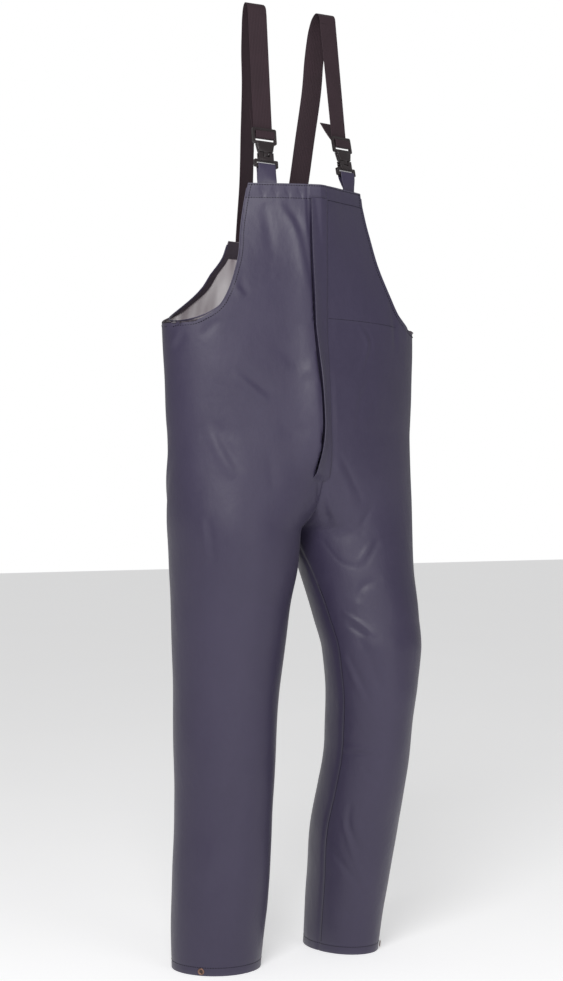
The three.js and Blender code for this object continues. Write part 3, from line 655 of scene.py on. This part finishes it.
def shell(name, half):
    """One half of the garment as one sheet, coated outside and knit inside."""
    side = SIDES[name]
    front, back = half["front"], half["back"]
    points = np.vstack([front.reshape(-1, 3), back.reshape(-1, 3)])
    faces = np.vstack([
        grid_faces(*front.shape[:2], flipped=side < 0),
        grid_faces(*back.shape[:2], flipped=side < 0, start=front.shape[0] * front.shape[1]),
    ])
    piece = make_piece(f"{name}_shell", points, faces, [COATED, LINING, COATED_DARK])
    weld(piece, 0.7)
    rubbed = piece.data.attributes.new("rubbed", "FLOAT", "POINT")
    at = np.zeros(len(piece.data.vertices) * 3)
    piece.data.vertices.foreach_get("co", at)
    rows = half["rows"]
    edges = [to_frame(e)[::3] for e in (
        front[rows:, -1], back[rows:, 0], front[-1], back[-1], front[0], back[0])]
    rubbed.data.foreach_set("value", rubbed_edges(at.reshape(-1, 3) / MM, [e / MM for e in edges]))
    thicken(piece, CLOTH, inner=1, rim=2)
    for face in piece.data.polygons:
        x, _, z = face.center / MM
        if face.material_index == 1 and abs(x) > 205 and abs(z - UNDERARM_Z) < 9:
            face.material_index = 2
    nodes = [f"{name}_{part}_panel" for part in ("lower_leg", "upper_leg", "trunk", "bib", "back")]
    settle(piece, "garment", "coated_cloth", *nodes)
    return piece


def armhole_line(name, half):
    """Points, outward normals and directions into the cloth along one armhole, front to back."""
    side, rows = SIDES[name], half["rows"]
    front, back = half["front"], half["back"]
    points = np.concatenate([front[rows:, -1][::-1], back[rows - 1:, 0]])
    normals = np.concatenate([grid_normals(front, side)[rows:, -1][::-1],
                              grid_normals(back, side)[rows - 1:, 0]])
    round_body = points / (254 ** 2, 108 ** 2, 1)
    round_body[:, 2] = 0
    round_body /= np.linalg.norm(round_body, axis=1, keepdims=True)
    low = ease((1175 - points[:, 2:]) / 40)
    normals = normals * (1 - low) + round_body * low
    run = np.gradient(points, axis=0)
    run /= np.linalg.norm(run, axis=1, keepdims=True)
    into = np.cross(run, normals) * side
    into /= np.linalg.norm(into, axis=1, keepdims=True)
    return points, normals / np.linalg.norm(normals, axis=1, keepdims=True), into


def armhole_facing(name, half):
    """Turned bands inside the armhole's edge, one on the bib and one on the back."""
    side, rows = SIDES[name], half["rows"]
    for part, columns, top in (("front", slice(-8, None), TOP_BAND), ("back", slice(0, 8), BACK_BAND)):
        grid = half[part]
        keep = slice(rows + 1, len(grid) - round(top / ROW_STEP))
        piece = band(f"{name}_armhole_{part}_band", grid[keep, columns],
                     grid_normals(grid, side)[keep, columns], CLOTH + 0.2, CLOTH + 1.0,
                     COATED_DARK, side < 0)
        settle(piece, "garment", "coated_cloth_dark", f"{name}_armhole_{part}_facing")


def armhole_binding(name, half):
    """Rolled edge of cloth that closes the armhole's raw edge."""
    points, normals, _ = armhole_line(name, half)
    centres = (points - normals * (CLOTH / 2))[2:-2:3]
    near = ease((1150 - centres[1:-1, 2:]) / 20)
    for _ in range(5):
        evened = (centres[:-2] + 2 * centres[1:-1] + centres[2:]) / 4
        centres[1:-1] += (evened - centres[1:-1]) * near
    piece = strap(f"{name}_armhole_binding", centres, normals[2:-2:3], 2.8, 2.4, COATED, steps=2)
    return settle(piece, "garment", "coated_cloth")


def hem_facing(name, half):
    side = SIDES[name]
    ring = np.concatenate([half["front"][:5], half["back"][:5, 1:]], axis=1)
    normals = grid_normals(ring, side)
    ring = ring.copy()
    ring[0, :, 2] = 0.8
    piece = band(f"{name}_hem_band", ring, normals, CLOTH + 0.2, CLOTH + 1.0, COATED_DARK,
                 side < 0, closed=True)
    return settle(piece, "garment", "coated_cloth_dark", f"{name}_hem_facing")


def top_facing(name, halves, part, depth, node):
    """Turned band along the top of the bib or of the back, from armhole to armhole."""
    count = round(depth / ROW_STEP) + 1
    grids, normals = [], []
    for side in ("right", "left"):
        grid = halves[side][part]
        found = grid_normals(grid, SIDES[side])[-count:]
        rows = grid[-count:]
        if part == "back":
            rows, found = rows[:, ::-1], found[:, ::-1]
        if side == "right":
            rows, found = rows[:, ::-1], found[:, ::-1]
        skip = 0 if side == "right" else 1
        grids.append(rows[:, skip:])
        normals.append(found[:, skip:])
    grid, found = np.concatenate(grids, axis=1), np.concatenate(normals, axis=1)
    grid = grid.copy()
    grid[-1, :, 2] -= 0.5
    piece = band(name, grid, found, CLOTH + 0.2, CLOTH + 1.0, COATED_DARK, part == "back")
    return settle(piece, "garment", "coated_cloth_dark", node)


def centre_tape(name, halves, part, column, first, last, node):
    """Tape over the inside of a centre seam, a few columns wide on each side."""
    width = 3
    grids, normals = [], []
    for side in ("right", "left"):
        grid = halves[side][part]
        found = grid_normals(grid, SIDES[side])
        pick = slice(0, width) if column == 0 else slice(-1, -width - 1, -1)
        rows, found = grid[first:last, pick], found[first:last, pick]
        if side == "right":
            rows, found = rows[:, ::-1], found[:, ::-1]
        skip = 0 if side == "right" else 1
        grids.append(rows[:, skip:])
        normals.append(found[:, skip:])
    grid, found = np.concatenate(grids, axis=1), np.concatenate(normals, axis=1)
    piece = band(name, grid[::2], found[::2], CLOTH + 0.3, CLOTH + 0.8, COATED_DARK, part == "back")
    return settle(piece, "garment", "coated_cloth_dark", node)


def inseam_tape(name, half):
    side, width = SIDES[name], 3
    last = int((CROTCH_Z - 20) / ROW_STEP)
    ring = np.concatenate([half["back"][4:last, -width - 1:-1], half["front"][4:last, :width + 1]],
                          axis=1)
    piece = band(f"{name}_inseam_cover", ring[::2], grid_normals(ring, side)[::2], CLOTH + 0.3,
                 CLOTH + 0.8, COATED_DARK, side < 0)
    return settle(piece, "garment", "coated_cloth_dark", f"{name}_inseam_tape")


def inner_pocket(half):
    """Pocket bag behind the wearer's left side of the bib."""
    rows = half["rows"]
    patch = half["front"][rows + 2: rows + 44: 2, 14:72:3]
    normals = grid_normals(half["front"], 1)[rows + 2: rows + 44: 2, 14:72:3]
    piece = band("pocket_bag", patch, normals, CLOTH + 1.6, CLOTH + 2.6, COATED_DARK, False)
    return settle(piece, "garment", "coated_cloth_dark", "inner_pocket")


def trunk_front_y(u, z):
    table = np.array(TRUNK_RINGS, float)
    centre, half, front, _ = smooth_through(table[:, 0], table[:, 1:], [z])[0]
    return -front * math.sqrt(max(0, 1 - ((u - centre) / half) ** 2))


def storm_flap():
    """Front flap from the top band down to the fly. Its free edge gapes towards the wearer's right."""
    levels = np.linspace(FLAP_LEVELS[0], FLAP_LEVELS[-1], 110)
    sewn = smooth_through(FLAP_LEVELS, FLAP_SEWN_X, levels)[:, 0]
    lift = np.radians(smooth_through(FLAP_LEVELS, FLAP_LIFT, levels)[:, 0])
    rows = []
    for z, edge, angle in zip(levels, sewn, lift):
        depth_at = front_y if z >= UNDERARM_Z else trunk_front_y
        row = [(edge + 2.2, float(depth_at(abs(edge + 2.2), z)) - 0.1, z),
               (edge + 1.0, float(depth_at(abs(edge), z)) - 1.6, z)]
        for w in np.linspace(0, FLAP_WIDTH, 13):
            curl = angle * (0.75 + 0.5 * (w / FLAP_WIDTH))
            x = edge - w * math.cos(curl)
            lying = float(depth_at(abs(x), z)) - FLAP_OFF
            standing = float(depth_at(abs(edge), z)) - FLAP_OFF - w * math.sin(curl) * 0.9
            ripple = 0.5 * math.sin(z / 23 + w / 9) * w / FLAP_WIDTH
            sunk = 3.5 * (1 - float(ease((z - FLAP_LEVELS[0]) / 12)))
            row.append((x, min(lying, standing) + ripple - 0.5 + sunk, z))
        rows.append(row)
    grid = np.array(rows)
    faces = grid_faces(*grid.shape[:2], flipped=True)
    piece = make_piece("storm_flap", grid, faces, [COATED, COATED, COATED])
    wear = piece.data.attributes.new("rubbed", "FLOAT", "POINT")
    edge = to_frame(grid[:, -1]) / MM
    at = to_frame(grid) / MM
    wear.data.foreach_set("value", 0.8 * rubbed_edges(at, [edge[::2]]))
    thicken(piece, 1.5)
    apply_modifier(piece, "BEVEL", width=0.4 * MM, segments=2, limit_method="ANGLE",
                   angle_limit=math.radians(60))
    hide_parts("bib_storm_flap", "fly_flap")
    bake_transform(piece)
    return piece


# ---- stitching -----------------------------------------------------------------------
def stitch_row(line, normals, pitch=4.6, length=3.2, width=1.5, height=0.8):
    """Points and faces of separate stitches lying along a line on the cloth."""
    line, normals = np.asarray(line, float), np.asarray(normals, float)
    steps = np.linalg.norm(np.diff(line, axis=0), axis=1)
    along = np.concatenate([[0], np.cumsum(steps)])
    at = np.arange(pitch / 2, along[-1], pitch)
    centre = np.stack([np.interp(at, along, line[:, k]) for k in range(3)], axis=1)
    ahead = np.stack([np.interp(at + 0.8, along, line[:, k]) for k in range(3)], axis=1)
    behind = np.stack([np.interp(at - 0.8, along, line[:, k]) for k in range(3)], axis=1)
    run = ahead - behind
    run /= np.linalg.norm(run, axis=1, keepdims=True)
    up = np.stack([np.interp(at, along, normals[:, k]) for k in range(3)], axis=1)
    across = np.cross(run, up)
    across /= np.linalg.norm(across, axis=1, keepdims=True)
    up = np.cross(across, run)
    shape = [(-0.5, 0, -0.2), (-0.3, -0.5, -0.2), (-0.3, 0, 1), (-0.3, 0.5, -0.2),
             (0.3, -0.5, -0.2), (0.3, 0, 1), (0.3, 0.5, -0.2), (0.5, 0, -0.2)]
    corners = [centre + run * a * length + across * b * width + up * c * height for a, b, c in shape]
    points = np.stack(corners, axis=1).reshape(-1, 3)
    one = np.array([(0, 2, 1, 1), (0, 3, 2, 2), (0, 1, 3, 3), (1, 2, 5, 4), (2, 3, 6, 5),
                    (3, 1, 4, 6), (7, 4, 5, 5), (7, 5, 6, 6), (7, 6, 4, 4)])
    faces = (one[None] + 8 * np.arange(len(centre))[:, None, None]).reshape(-1, 4)
    return points, faces


def sewn(name, rows, body="garment"):
    """One piece from several rows of stitches."""
    points, faces, count = [], [], 0
    for row_points, row_faces in rows:
        points.append(row_points)
        faces += [tuple(dict.fromkeys(face)) for face in (row_faces + count).tolist()]
        count += len(row_points)
    piece = make_piece(name, np.vstack(points), faces, [THREAD], smooth=False)
    only(piece)
    bpy.ops.object.mode_set(mode="EDIT")
    bpy.ops.mesh.select_all(action="SELECT")
    bpy.ops.mesh.normals_make_consistent(inside=False)
    bpy.ops.object.mode_set(mode="OBJECT")
    return settle(piece, body, "coated_cloth_dark")


def row_below(grid, depth):
    """Fractional row that lies a depth below the last row of a grid."""
    return len(grid) - 1 - depth / ROW_STEP


def line_at(grid, normals, row):
    k = int(row)
    t = row - k
    line = grid[k] * (1 - t) + grid[k + 1] * t
    return line, normals[k] * (1 - t) + normals[k + 1] * t


def half_stitching(name, half):
    side = SIDES[name]
    front, back, rows = half["front"], half["back"], half["rows"]
    front_n, back_n = grid_normals(front, side), grid_normals(back, side)
    made = [stitch_row(*line_at(front, front_n, row_below(front, TOP_BAND))),
            stitch_row(*line_at(back, back_n, row_below(back, BACK_BAND))),
            stitch_row(*line_at(front, front_n, row_below(front, 3.0))),
            stitch_row(*line_at(back, back_n, row_below(back, 3.0)))]
    points, normals, into = armhole_line(name, half)
    made.append(stitch_row(points + into * 6, normals))
    made.append(stitch_row(*line_at(front, front_n, 14 / ROW_STEP)))
    made.append(stitch_row(*line_at(back, back_n, 14 / ROW_STEP)))
    made.append(stitch_row(back[170:, -2], back_n[170:, -2]))
    low = slice(4, 150)
    made.append(stitch_row(front[low, 2], front_n[low, 2]))
    if name == "left":
        seam = front[rows + 2, 4:58], front_n[rows + 2, 4:58]
        made.append(stitch_row(*seam, pitch=3.4, length=2.6, width=1.0, height=0.5))
    return sewn(f"{name}_stitching", made)


# ---- straps --------------------------------------------------------------------------
def strap(name, centres, across, width, thickness, finish, steps=8):
    """Flat webbing with rounded edges along a smooth line, with its own UV map."""
    count = steps * (len(centres) - 1) + 1
    line = curve(centres, count)
    wide = curve(across, count)
    run = np.gradient(line, axis=0)
    run /= np.linalg.norm(run, axis=1, keepdims=True)
    wide = wide - run * (wide * run).sum(1)[:, None]
    wide /= np.linalg.norm(wide, axis=1, keepdims=True)
    face = np.cross(run, wide)
    section = [(-0.5, 0), (-0.488, -0.42), (-0.44, -0.5), (-0.2, -0.5), (0, -0.5), (0.2, -0.5),
               (0.44, -0.5), (0.488, -0.42), (0.5, 0), (0.488, 0.42), (0.44, 0.5), (0.2, 0.5),
               (0, 0.5), (-0.2, 0.5), (-0.44, 0.5), (-0.488, 0.42)]
    rings = [line + wide * a * width + face * b * thickness for a, b in section]
    points = np.stack(rings, axis=1)
    size = len(section)
    faces, uvs = [], []
    length = np.concatenate([[0], np.cumsum(np.linalg.norm(np.diff(line, axis=0), axis=1))]) * MM
    for k in range(count - 1):
        for m in range(size):
            n = (m + 1) % size
            faces.append((k * size + m, k * size + n, (k + 1) * size + n, (k + 1) * size + m))
            uvs += [(section[m][0] + 0.5, length[k]), (section[n][0] + 0.5, length[k]),
                    (section[n][0] + 0.5, length[k + 1]), (section[m][0] + 0.5, length[k + 1])]
    for k, order in ((0, range(size - 1, -1, -1)), (count - 1, range(size))):
        faces.append(tuple(k * size + m for m in order))
        uvs += [(section[m][0] + 0.5, length[k]) for m in order]
    piece = make_piece(name, points, faces, [finish])
    layer = piece.data.uv_layers.new(name="strap")
    layer.data.foreach_set("uv", np.array(uvs, float).ravel())
    fix_outward(piece)
    only(piece)
    bpy.ops.object.shade_smooth_by_angle(angle=math.radians(50))
    return piece


def fix_outward(piece):
    only(piece)
    bpy.ops.object.mode_set(mode="EDIT")
    bpy.ops.mesh.select_all(action="SELECT")
    bpy.ops.mesh.normals_make_consistent(inside=False)
    bpy.ops.object.mode_set(mode="OBJECT")


WEB_WIDTH, WEB_THICK, TAB_WIDTH, TAB_THICK = 36.4, 1.6, 34, 1.3
TAB_U = 87
CREST_Z = 1691
CREST_X = {"right": 77, "left": 71}
FACING = {"right": 4, "left": 13}
TAIL_LEAN = {"right": 10, "left": 27}


def unit(v):
    v = np.asarray(v, float)
    return v / np.linalg.norm(v)


class BuckleAxes:
    """The buckle's own axes: x across, y towards the body, z up along the brace."""

    def __init__(self, name):
        s, turn = SIDES[name], math.radians(FACING[name])
        self.z = unit((-s * 0.05, 0.194, 0.98))
        y = np.array((-s * math.sin(turn), math.cos(turn), 0))
        self.y = unit(y - self.z * (y @ self.z))
        self.x = np.cross(self.y, self.z)
        slope = 49.5 * 1.2 / 117 * (TAB_U / 117) ** 0.2
        self.inward = unit((-s * slope, 1, 0))
        corner = np.array((s * TAB_U, float(front_y(TAB_U, BIB_TOP_Z)), BIB_TOP_Z))
        self.origin = corner + 5 * self.inward

    def at(self, x, y, z):
        return self.origin + self.x * x + self.y * y + self.z * z

    def matrix(self):
        rotation = Matrix((self.x, self.y, self.z)).transposed().to_4x4()
        place = Vector(to_frame(self.origin)[0])
        return Matrix.Translation(place) @ rotation


def turned_across(name, degrees):
    a = math.radians(degrees)
    return (math.cos(a), SIDES[name] * math.sin(a), 0)


def buckle_tab(name):
    """Doubled cloth tab: up from behind the bib's top band, over the bar and down again."""
    axes = BuckleAxes(name)
    path = [(-1.1, -22), (-1.1, 0), (-2, 9), (-3, 18), (-3.9, 26), (-3.9, 32.8), (-2.8, 34.8),
            (0, 35.6), (2.8, 34.8), (3.9, 32.8), (3.9, 26), (3, 18), (2, 9), (1.1, 0), (1.1, -22)]
    centres, wide = [], []
    for y, z in path:
        inward = unit(axes.inward + (axes.y - axes.inward) * float(ease(z / 26)))
        up = unit((0, 0.02, 1)) if z < 0 else axes.z
        centres.append(axes.origin + inward * y + up * z)
        wide.append(unit(np.cross(inward, axes.z)))
    piece = strap(f"{name}_cloth_tab", centres, wide, TAB_WIDTH, TAB_THICK, COATED, steps=6)
    return settle(piece, "garment", "coated_cloth", f"{name}_buckle_tab")


def brace_pieces(name):
    s, axes = SIDES[name], BuckleAxes(name)
    off = WEB_THICK / 2 + 0.9
    crest = CREST_X[name]
    stations = [
        (46, float(back_y(46, 1236)) + off, 1236, -7), (47, float(back_y(47, 1262)) + off, 1262, -7),
        (48, float(back_y(48, 1281)) + off, 1284, -8), (50, 82, 1320, -12), (55, 67, 1386, -18),
        (60.5, 53.5, 1470, -18), (66, 40, 1553, -18), (crest - 5, 31, 1610, -16),
        (crest - 3, 25, 1650, -14), (crest - 2, 20, 1669, -10), (crest - 1, 13.5, 1683, -6),
        (crest, 4, CREST_Z - 0.5, 0), (crest, -5, 1684, 5), (crest, -8, 1671, 6),
    ]
    rear = strap(f"{name}_rear_webbing", [(s * u, y, z) for u, y, z, _ in stations],
                 [turned_across(name, turn) for *_, turn in stations], WEB_WIDTH, WEB_THICK, ELASTIC)
    settle(rear, "garment", "elastic_webbing", f"{name}_brace_rear")
    rows = []
    for level in (1241, 1246, 1272, 1277):
        ends = [(s * u, float(back_y(u, level)) + 2 * off - 0.5, level) for u in (30, 47, 63)]
        rows.append(stitch_row(ends, [(0, 1, 0)] * 3, pitch=3.6, length=2.7))
    sewn(f"{name}_anchor_stitching", rows)
    low, high = axes.at(0, 3.9, 102.6), np.array((s * crest, -8, 1671))
    ends = [high + (low - high) * k for k in (0, 0.2, 0.4, 0.6, 0.8, 1)]
    top_across = np.array(turned_across(name, 6))
    wide = [top_across + (axes.x - top_across) * k for k in (0, 0.2, 0.4, 0.6, 0.8, 1)]
    front = strap(f"{name}_front_webbing", ends, wide, WEB_WIDTH, WEB_THICK, ELASTIC, steps=6)
    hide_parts(f"{name}_brace_front")
    to_frame(high)[0]
    to_frame(low)[0]
    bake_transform(front)
    path = [(3.9, 102.6), (3.9, 98.6), (1.8, 95.6), (-1.8, 95.2), (-3.9, 93.4), (-4.1, 89),
            (-3.9, 84.6), (-2.6, 82.2), (0.3, 81.8), (4.4, 83.2), (6.2, 87.5), (6.2, 95.6)]
    loop = strap(f"{name}_ladder_webbing", [axes.at(0, y, z) for y, z in path], [axes.x] * len(path),
                 WEB_WIDTH, WEB_THICK, ELASTIC, steps=5)
    settle(loop, f"{name}_buckle_half", "elastic_webbing", f"{name}_brace_loop")
    tail_piece(name, axes)


def tail_piece(name, axes):
    """Loose end of the webbing above the ladder, with a slight bow."""
    lean = math.radians(TAIL_LEAN[name])
    def out(d, bow=0.0):
        return axes.at(0, 6.4 + d * math.sin(lean) + bow, 95.8 + d * math.cos(lean))
    points = [out(0), out(9, 0.5), out(18, 0.8), out(27, 0.7), out(36, 0.3), out(44)]
    tail = strap(f"{name}_loose_webbing", points, [axes.x] * 6, WEB_WIDTH, WEB_THICK, ELASTIC, steps=5)
    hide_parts(f"{name}_tail_root", f"{name}_tail_end")
    to_frame(out(4))[0]
    to_frame(out(40))[0]
    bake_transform(tail)
    return tail


# ---- buckles -------------------------------------------------------------------------
def slim_frame(piece, axes):
    """Brings the slots' ends and the outer rails of a frame in towards the webbing."""
    place = axes.matrix()
    back = place.inverted()
    for corner in piece.data.vertices:
        local = back @ corner.co
        inset = 2.0 * MM * float(ease((abs(local.x) / MM - 14) / 4))
        local.x -= math.copysign(inset, local.x)
        corner.co = place @ local


def moulded_copy(node, body, axes=None, bevel=0.45):
    """Moulded plastic part: the node's own shape with its edges rounded."""
    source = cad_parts[node]
    piece = bpy.data.objects.new(f"{node}_moulding", source.data.copy())
    bpy.context.scene.collection.objects.link(piece)
    piece.data.materials.clear()
    piece.data.materials.append(PLASTIC)
    only(piece)
    bpy.ops.object.mode_set(mode="EDIT")
    bpy.ops.mesh.select_all(action="SELECT")
    bpy.ops.mesh.remove_doubles(threshold=0.00001)
    bpy.ops.mesh.dissolve_limited(angle_limit=math.radians(1.0))
    bpy.ops.object.mode_set(mode="OBJECT")
    if axes:
        slim_frame(piece, axes)
    apply_modifier(piece, "BEVEL", width=bevel * MM, segments=2, limit_method="ANGLE",
                   angle_limit=math.radians(35), use_clamp_overlap=True)
    only(piece)
    bpy.ops.object.shade_smooth_by_angle(angle=math.radians(40))
    return settle(piece, body, "black_plastic", node)


def rounded_bar(name, axes, centre, size, body, bevel=0.5):
    """Small moulded rib: a block with every edge rounded, laid in the buckle's axes."""
    for other in bpy.context.selected_objects:
        other.select_set(False)
    bpy.ops.mesh.primitive_cube_add(size=1, location=(0, 0, 0))
    piece = bpy.context.active_object
    piece.name = piece.data.name = name
    bpy.ops.object.mode_set(mode="EDIT")
    bpy.ops.transform.resize(value=tuple(v * MM for v in size))
    bpy.ops.transform.translate(value=tuple(v * MM for v in centre))
    bpy.ops.mesh.bevel(offset=bevel * MM, segments=2, affect="EDGES")
    bpy.ops.object.mode_set(mode="OBJECT")
    piece.data.transform(axes.matrix())
    piece.data.materials.append(PLASTIC)
    only(piece)
    bpy.ops.object.shade_smooth_by_angle(angle=math.radians(40))
    return settle(piece, body, "black_plastic")


def shield(name, axes, near, far):
    """Tapered plate over the roots of the latches, on one face of the ladder half."""
    for other in bpy.context.selected_objects:
        other.select_set(False)
    bpy.ops.mesh.primitive_cube_add(size=1, location=(0, 0, 0))
    piece = bpy.context.active_object
    piece.name = piece.data.name = name
    bpy.ops.object.mode_set(mode="EDIT")
    bpy.ops.transform.resize(value=(34 * MM, (far - near) * MM, 15.6 * MM))
    bpy.ops.transform.translate(value=(0, (far + near) / 2 * MM, 64.2 * MM))
    bpy.ops.object.mode_set(mode="OBJECT")
    for corner in piece.data.vertices:
        if corner.co.z < 64 * MM:
            corner.co.x *= 0.78
    only(piece)
    bpy.ops.object.mode_set(mode="EDIT")
    bpy.ops.mesh.select_all(action="SELECT")
    bpy.ops.mesh.bevel(offset=0.7 * MM, segments=3, affect="EDGES")
    bpy.ops.object.mode_set(mode="OBJECT")
    piece.data.transform(axes.matrix())
    piece.data.materials.append(PLASTIC)
    bpy.ops.object.shade_smooth_by_angle(angle=math.radians(40))
    return settle(piece, f"{name[:name.index('_')]}_buckle_half", "black_plastic")


def buckle(name):
    axes = BuckleAxes(name)
    shield(f"{name}_front_shield", axes, -4.4, -2.5)
    shield(f"{name}_rear_shield", axes, 2.5, 4.4)
    moulded_copy(f"{name}_buckle_socket", "garment", axes)
    moulded_copy(f"{name}_ladder_lock", f"{name}_buckle_half", axes)
    for part, hand in (("outer", SIDES[name]), ("inner", -SIDES[name])):
        moulded_copy(f"{name}_{part}_latch", f"{name}_{part}_latch", bevel=0.35)
        for k in range(3):
            rounded_bar(f"{name}_{part}_latch_rib_{k}", axes, (hand * 14.2, 0, 60.2 + 2.3 * k),
                        (2.6, 4.9, 0.9), f"{name}_{part}_latch", 0.25)
    rounded_bar(f"{name}_tongue_pad", axes, (0, -3.2, 53.4), (9.6, 1.6, 8.6), f"{name}_buckle_half", 0.6)
    rounded_bar(f"{name}_socket_lip", axes, (0, -4.4, 42.5), (26, 1.2, 2.0), "garment", 0.45)
    for k in (0, 1):
        rounded_bar(f"{name}_ladder_step_{k}", axes, (0, -2.5, 86 + 1.3 * k), (36, 0.7, 0.5),
                    f"{name}_buckle_half", 0.2)


# ---- press studs ---------------------------------------------------------------------
HEM_FACETS = 24                   # flats round the hem, one of which carries each stud
STUD_LEVEL = 7.5
STUD_RADIUS = 6
STUD_SIDES = 36


def press_stud(name, facet, post):
    """Turned copper cap on a hem, worked up from one disc."""
    side = SIDES[name]
    kind = "post" if post else "socket"
    share = (facet + 0.5) / HEM_FACETS
    centre = lower_grid(name, [STUD_LEVEL], np.array([share]))[0, 0]
    levels = [STUD_LEVEL, STUD_LEVEL + 4]
    ring = lower_grid(name, levels, np.array([share - 0.01, share + 0.01]))
    out = unit(np.cross(ring[0, 1] - ring[0, 0], ring[1, 0] - ring[0, 0]) * side)
    for other in bpy.context.selected_objects:
        other.select_set(False)
    bpy.ops.mesh.primitive_circle_add(vertices=STUD_SIDES, radius=STUD_RADIUS * MM,
                                      fill_type="NGON")
    piece = bpy.context.active_object
    piece.name = piece.data.name = f"{name}_hem_{kind}_cap"
    bpy.ops.object.mode_set(mode="EDIT")
    rises = [(1.0, 0.6), (0.93, 0.5), (0.86, 0.25), (0.88, 0.1)]
    rises += [(0.62, 0.1), (0.9, 1.1), (0.94, 0.5), (0.7, 0.2)] if post else [
        (0.8, -0.5), (0.9, -0.5), (0.5, 0.0), (0.8, 0.3)]
    for scale, lift in rises:
        bpy.ops.mesh.extrude_region_move(TRANSFORM_OT_translate={"value": (0, 0, lift * MM)})
        bpy.ops.transform.resize(value=(scale, scale, 1))
    bpy.ops.object.mode_set(mode="OBJECT")
    turn = Vector((0, 0, 1)).rotation_difference(Vector(out)).to_matrix().to_4x4()
    place = Vector(to_frame(centre + out * 0.3)[0])
    piece.data.transform(Matrix.Translation(place) @ turn)
    fix_outward(piece)
    piece.data.materials.append(COPPER)
    piece.data.materials.append(COPPER_DARK)
    middle = np.array(place) + out * MM
    for face in piece.data.polygons:
        away = np.array(face.center) - middle
        away -= out * (away @ out)
        face.material_index = 1 if np.linalg.norm(away) < 2.7 * MM and not post else 0
    apply_modifier(piece, "BEVEL", width=0.15 * MM, segments=2, limit_method="ANGLE",
                   angle_limit=math.radians(40))
    only(piece)
    bpy.ops.object.shade_smooth_by_angle(angle=math.radians(45))
    return settle(piece, "garment", "stud_metal", f"{name}_hem_stud_{kind}")


# ---- studio --------------------------------------------------------------------------
def studio_floor():
    for other in bpy.context.selected_objects:
        other.select_set(False)
    bpy.ops.mesh.primitive_plane_add(size=30, location=(0, 0, 0))
    floor = bpy.context.active_object
    floor.name = "studio_floor"
    f = Finish("pale_floor", Emission_Color=(1, 1, 1, 1), Emission_Strength=0.42)
    cloud = f.noise(1.5, 2.0)
    floor.data.materials.append(f.finish(
        f.blend(cloud, (0.86, 0.86, 0.87, 1), (0.90, 0.90, 0.91, 1)), 0.7 + cloud * 0.1))


def area_light(name, place, target, size, power, tint=(1, 1, 1)):
    light = bpy.data.lights.new(name, "AREA")
    light.shape, light.size, light.energy, light.color = "DISK", size, power, tint
    lamp = bpy.data.objects.new(name, light)
    bpy.context.scene.collection.objects.link(lamp)
    lamp.location = place
    lamp.rotation_euler = (Vector(target) - Vector(place)).to_track_quat("-Z", "Y").to_euler()


AROUND_LIGHT = 0.29


def studio_light():
    world = bpy.data.worlds.new("studio")
    world.use_nodes = True
    background = world.node_tree.nodes["Background"]
    background.inputs["Color"].default_value = (1, 1, 1, 1)
    path = world.node_tree.nodes.new("ShaderNodeLightPath")
    level = world.node_tree.nodes.new("ShaderNodeMapRange")
    level.inputs["To Min"].default_value = AROUND_LIGHT
    level.inputs["To Max"].default_value = 1.0
    world.node_tree.links.new(path.outputs["Is Camera Ray"], level.inputs["Value"])
    world.node_tree.links.new(level.outputs[0], background.inputs["Strength"])
    bpy.context.scene.world = world
    area_light("key", (-1.8, -2.1, 2.6), (0, 0, 1.2), 1.3, 70)
    area_light("fill", (0.1, -3.6, 1.4), (0, 0, 0.9), 2.0, 18)
    bpy.context.scene.view_settings.view_transform = "Standard"


def studio_camera():
    away, turn = 3.4, math.radians(32)
    data = bpy.data.cameras.new("camera")
    data.lens, data.sensor_width, data.shift_x = 70.09, 36, -0.0107
    camera = bpy.data.objects.new("camera", data)
    bpy.context.scene.collection.objects.link(camera)
    camera.location = (-math.sin(turn) * away, -math.cos(turn) * away + CENTRE_SHIFT_Y * MM, 0.834)
    camera.rotation_euler = (math.radians(90), 0, -turn)
    bpy.context.scene.camera = camera


# ---- the overall ---------------------------------------------------------------------
def dress():
    halves = {name: half_garment(name) for name in SIDES}
    for name, half in halves.items():
        shell(name, half)
        armhole_facing(name, half)
        armhole_binding(name, half)
        hem_facing(name, half)
        inseam_tape(name, half)
        half_stitching(name, half)
        buckle_tab(name)
        buckle(name)
        brace_pieces(name)
        press_stud(name, 8, False)
        press_stud(name, 14, True)
    top_facing("bib_top_band", halves, "front", TOP_BAND, "bib_top_facing")
    top_facing("back_top_band", halves, "back", BACK_BAND, "back_top_facing")
    centre_tape("front_seam_cover", halves, "front", 0, 200, -8, "centre_front_tape")
    centre_tape("back_seam_cover", halves, "back", -1, 180, -10, "centre_back_tape")
    inner_pocket(halves["left"])
    storm_flap()


studio_camera()
studio_floor()
studio_light()
dress()
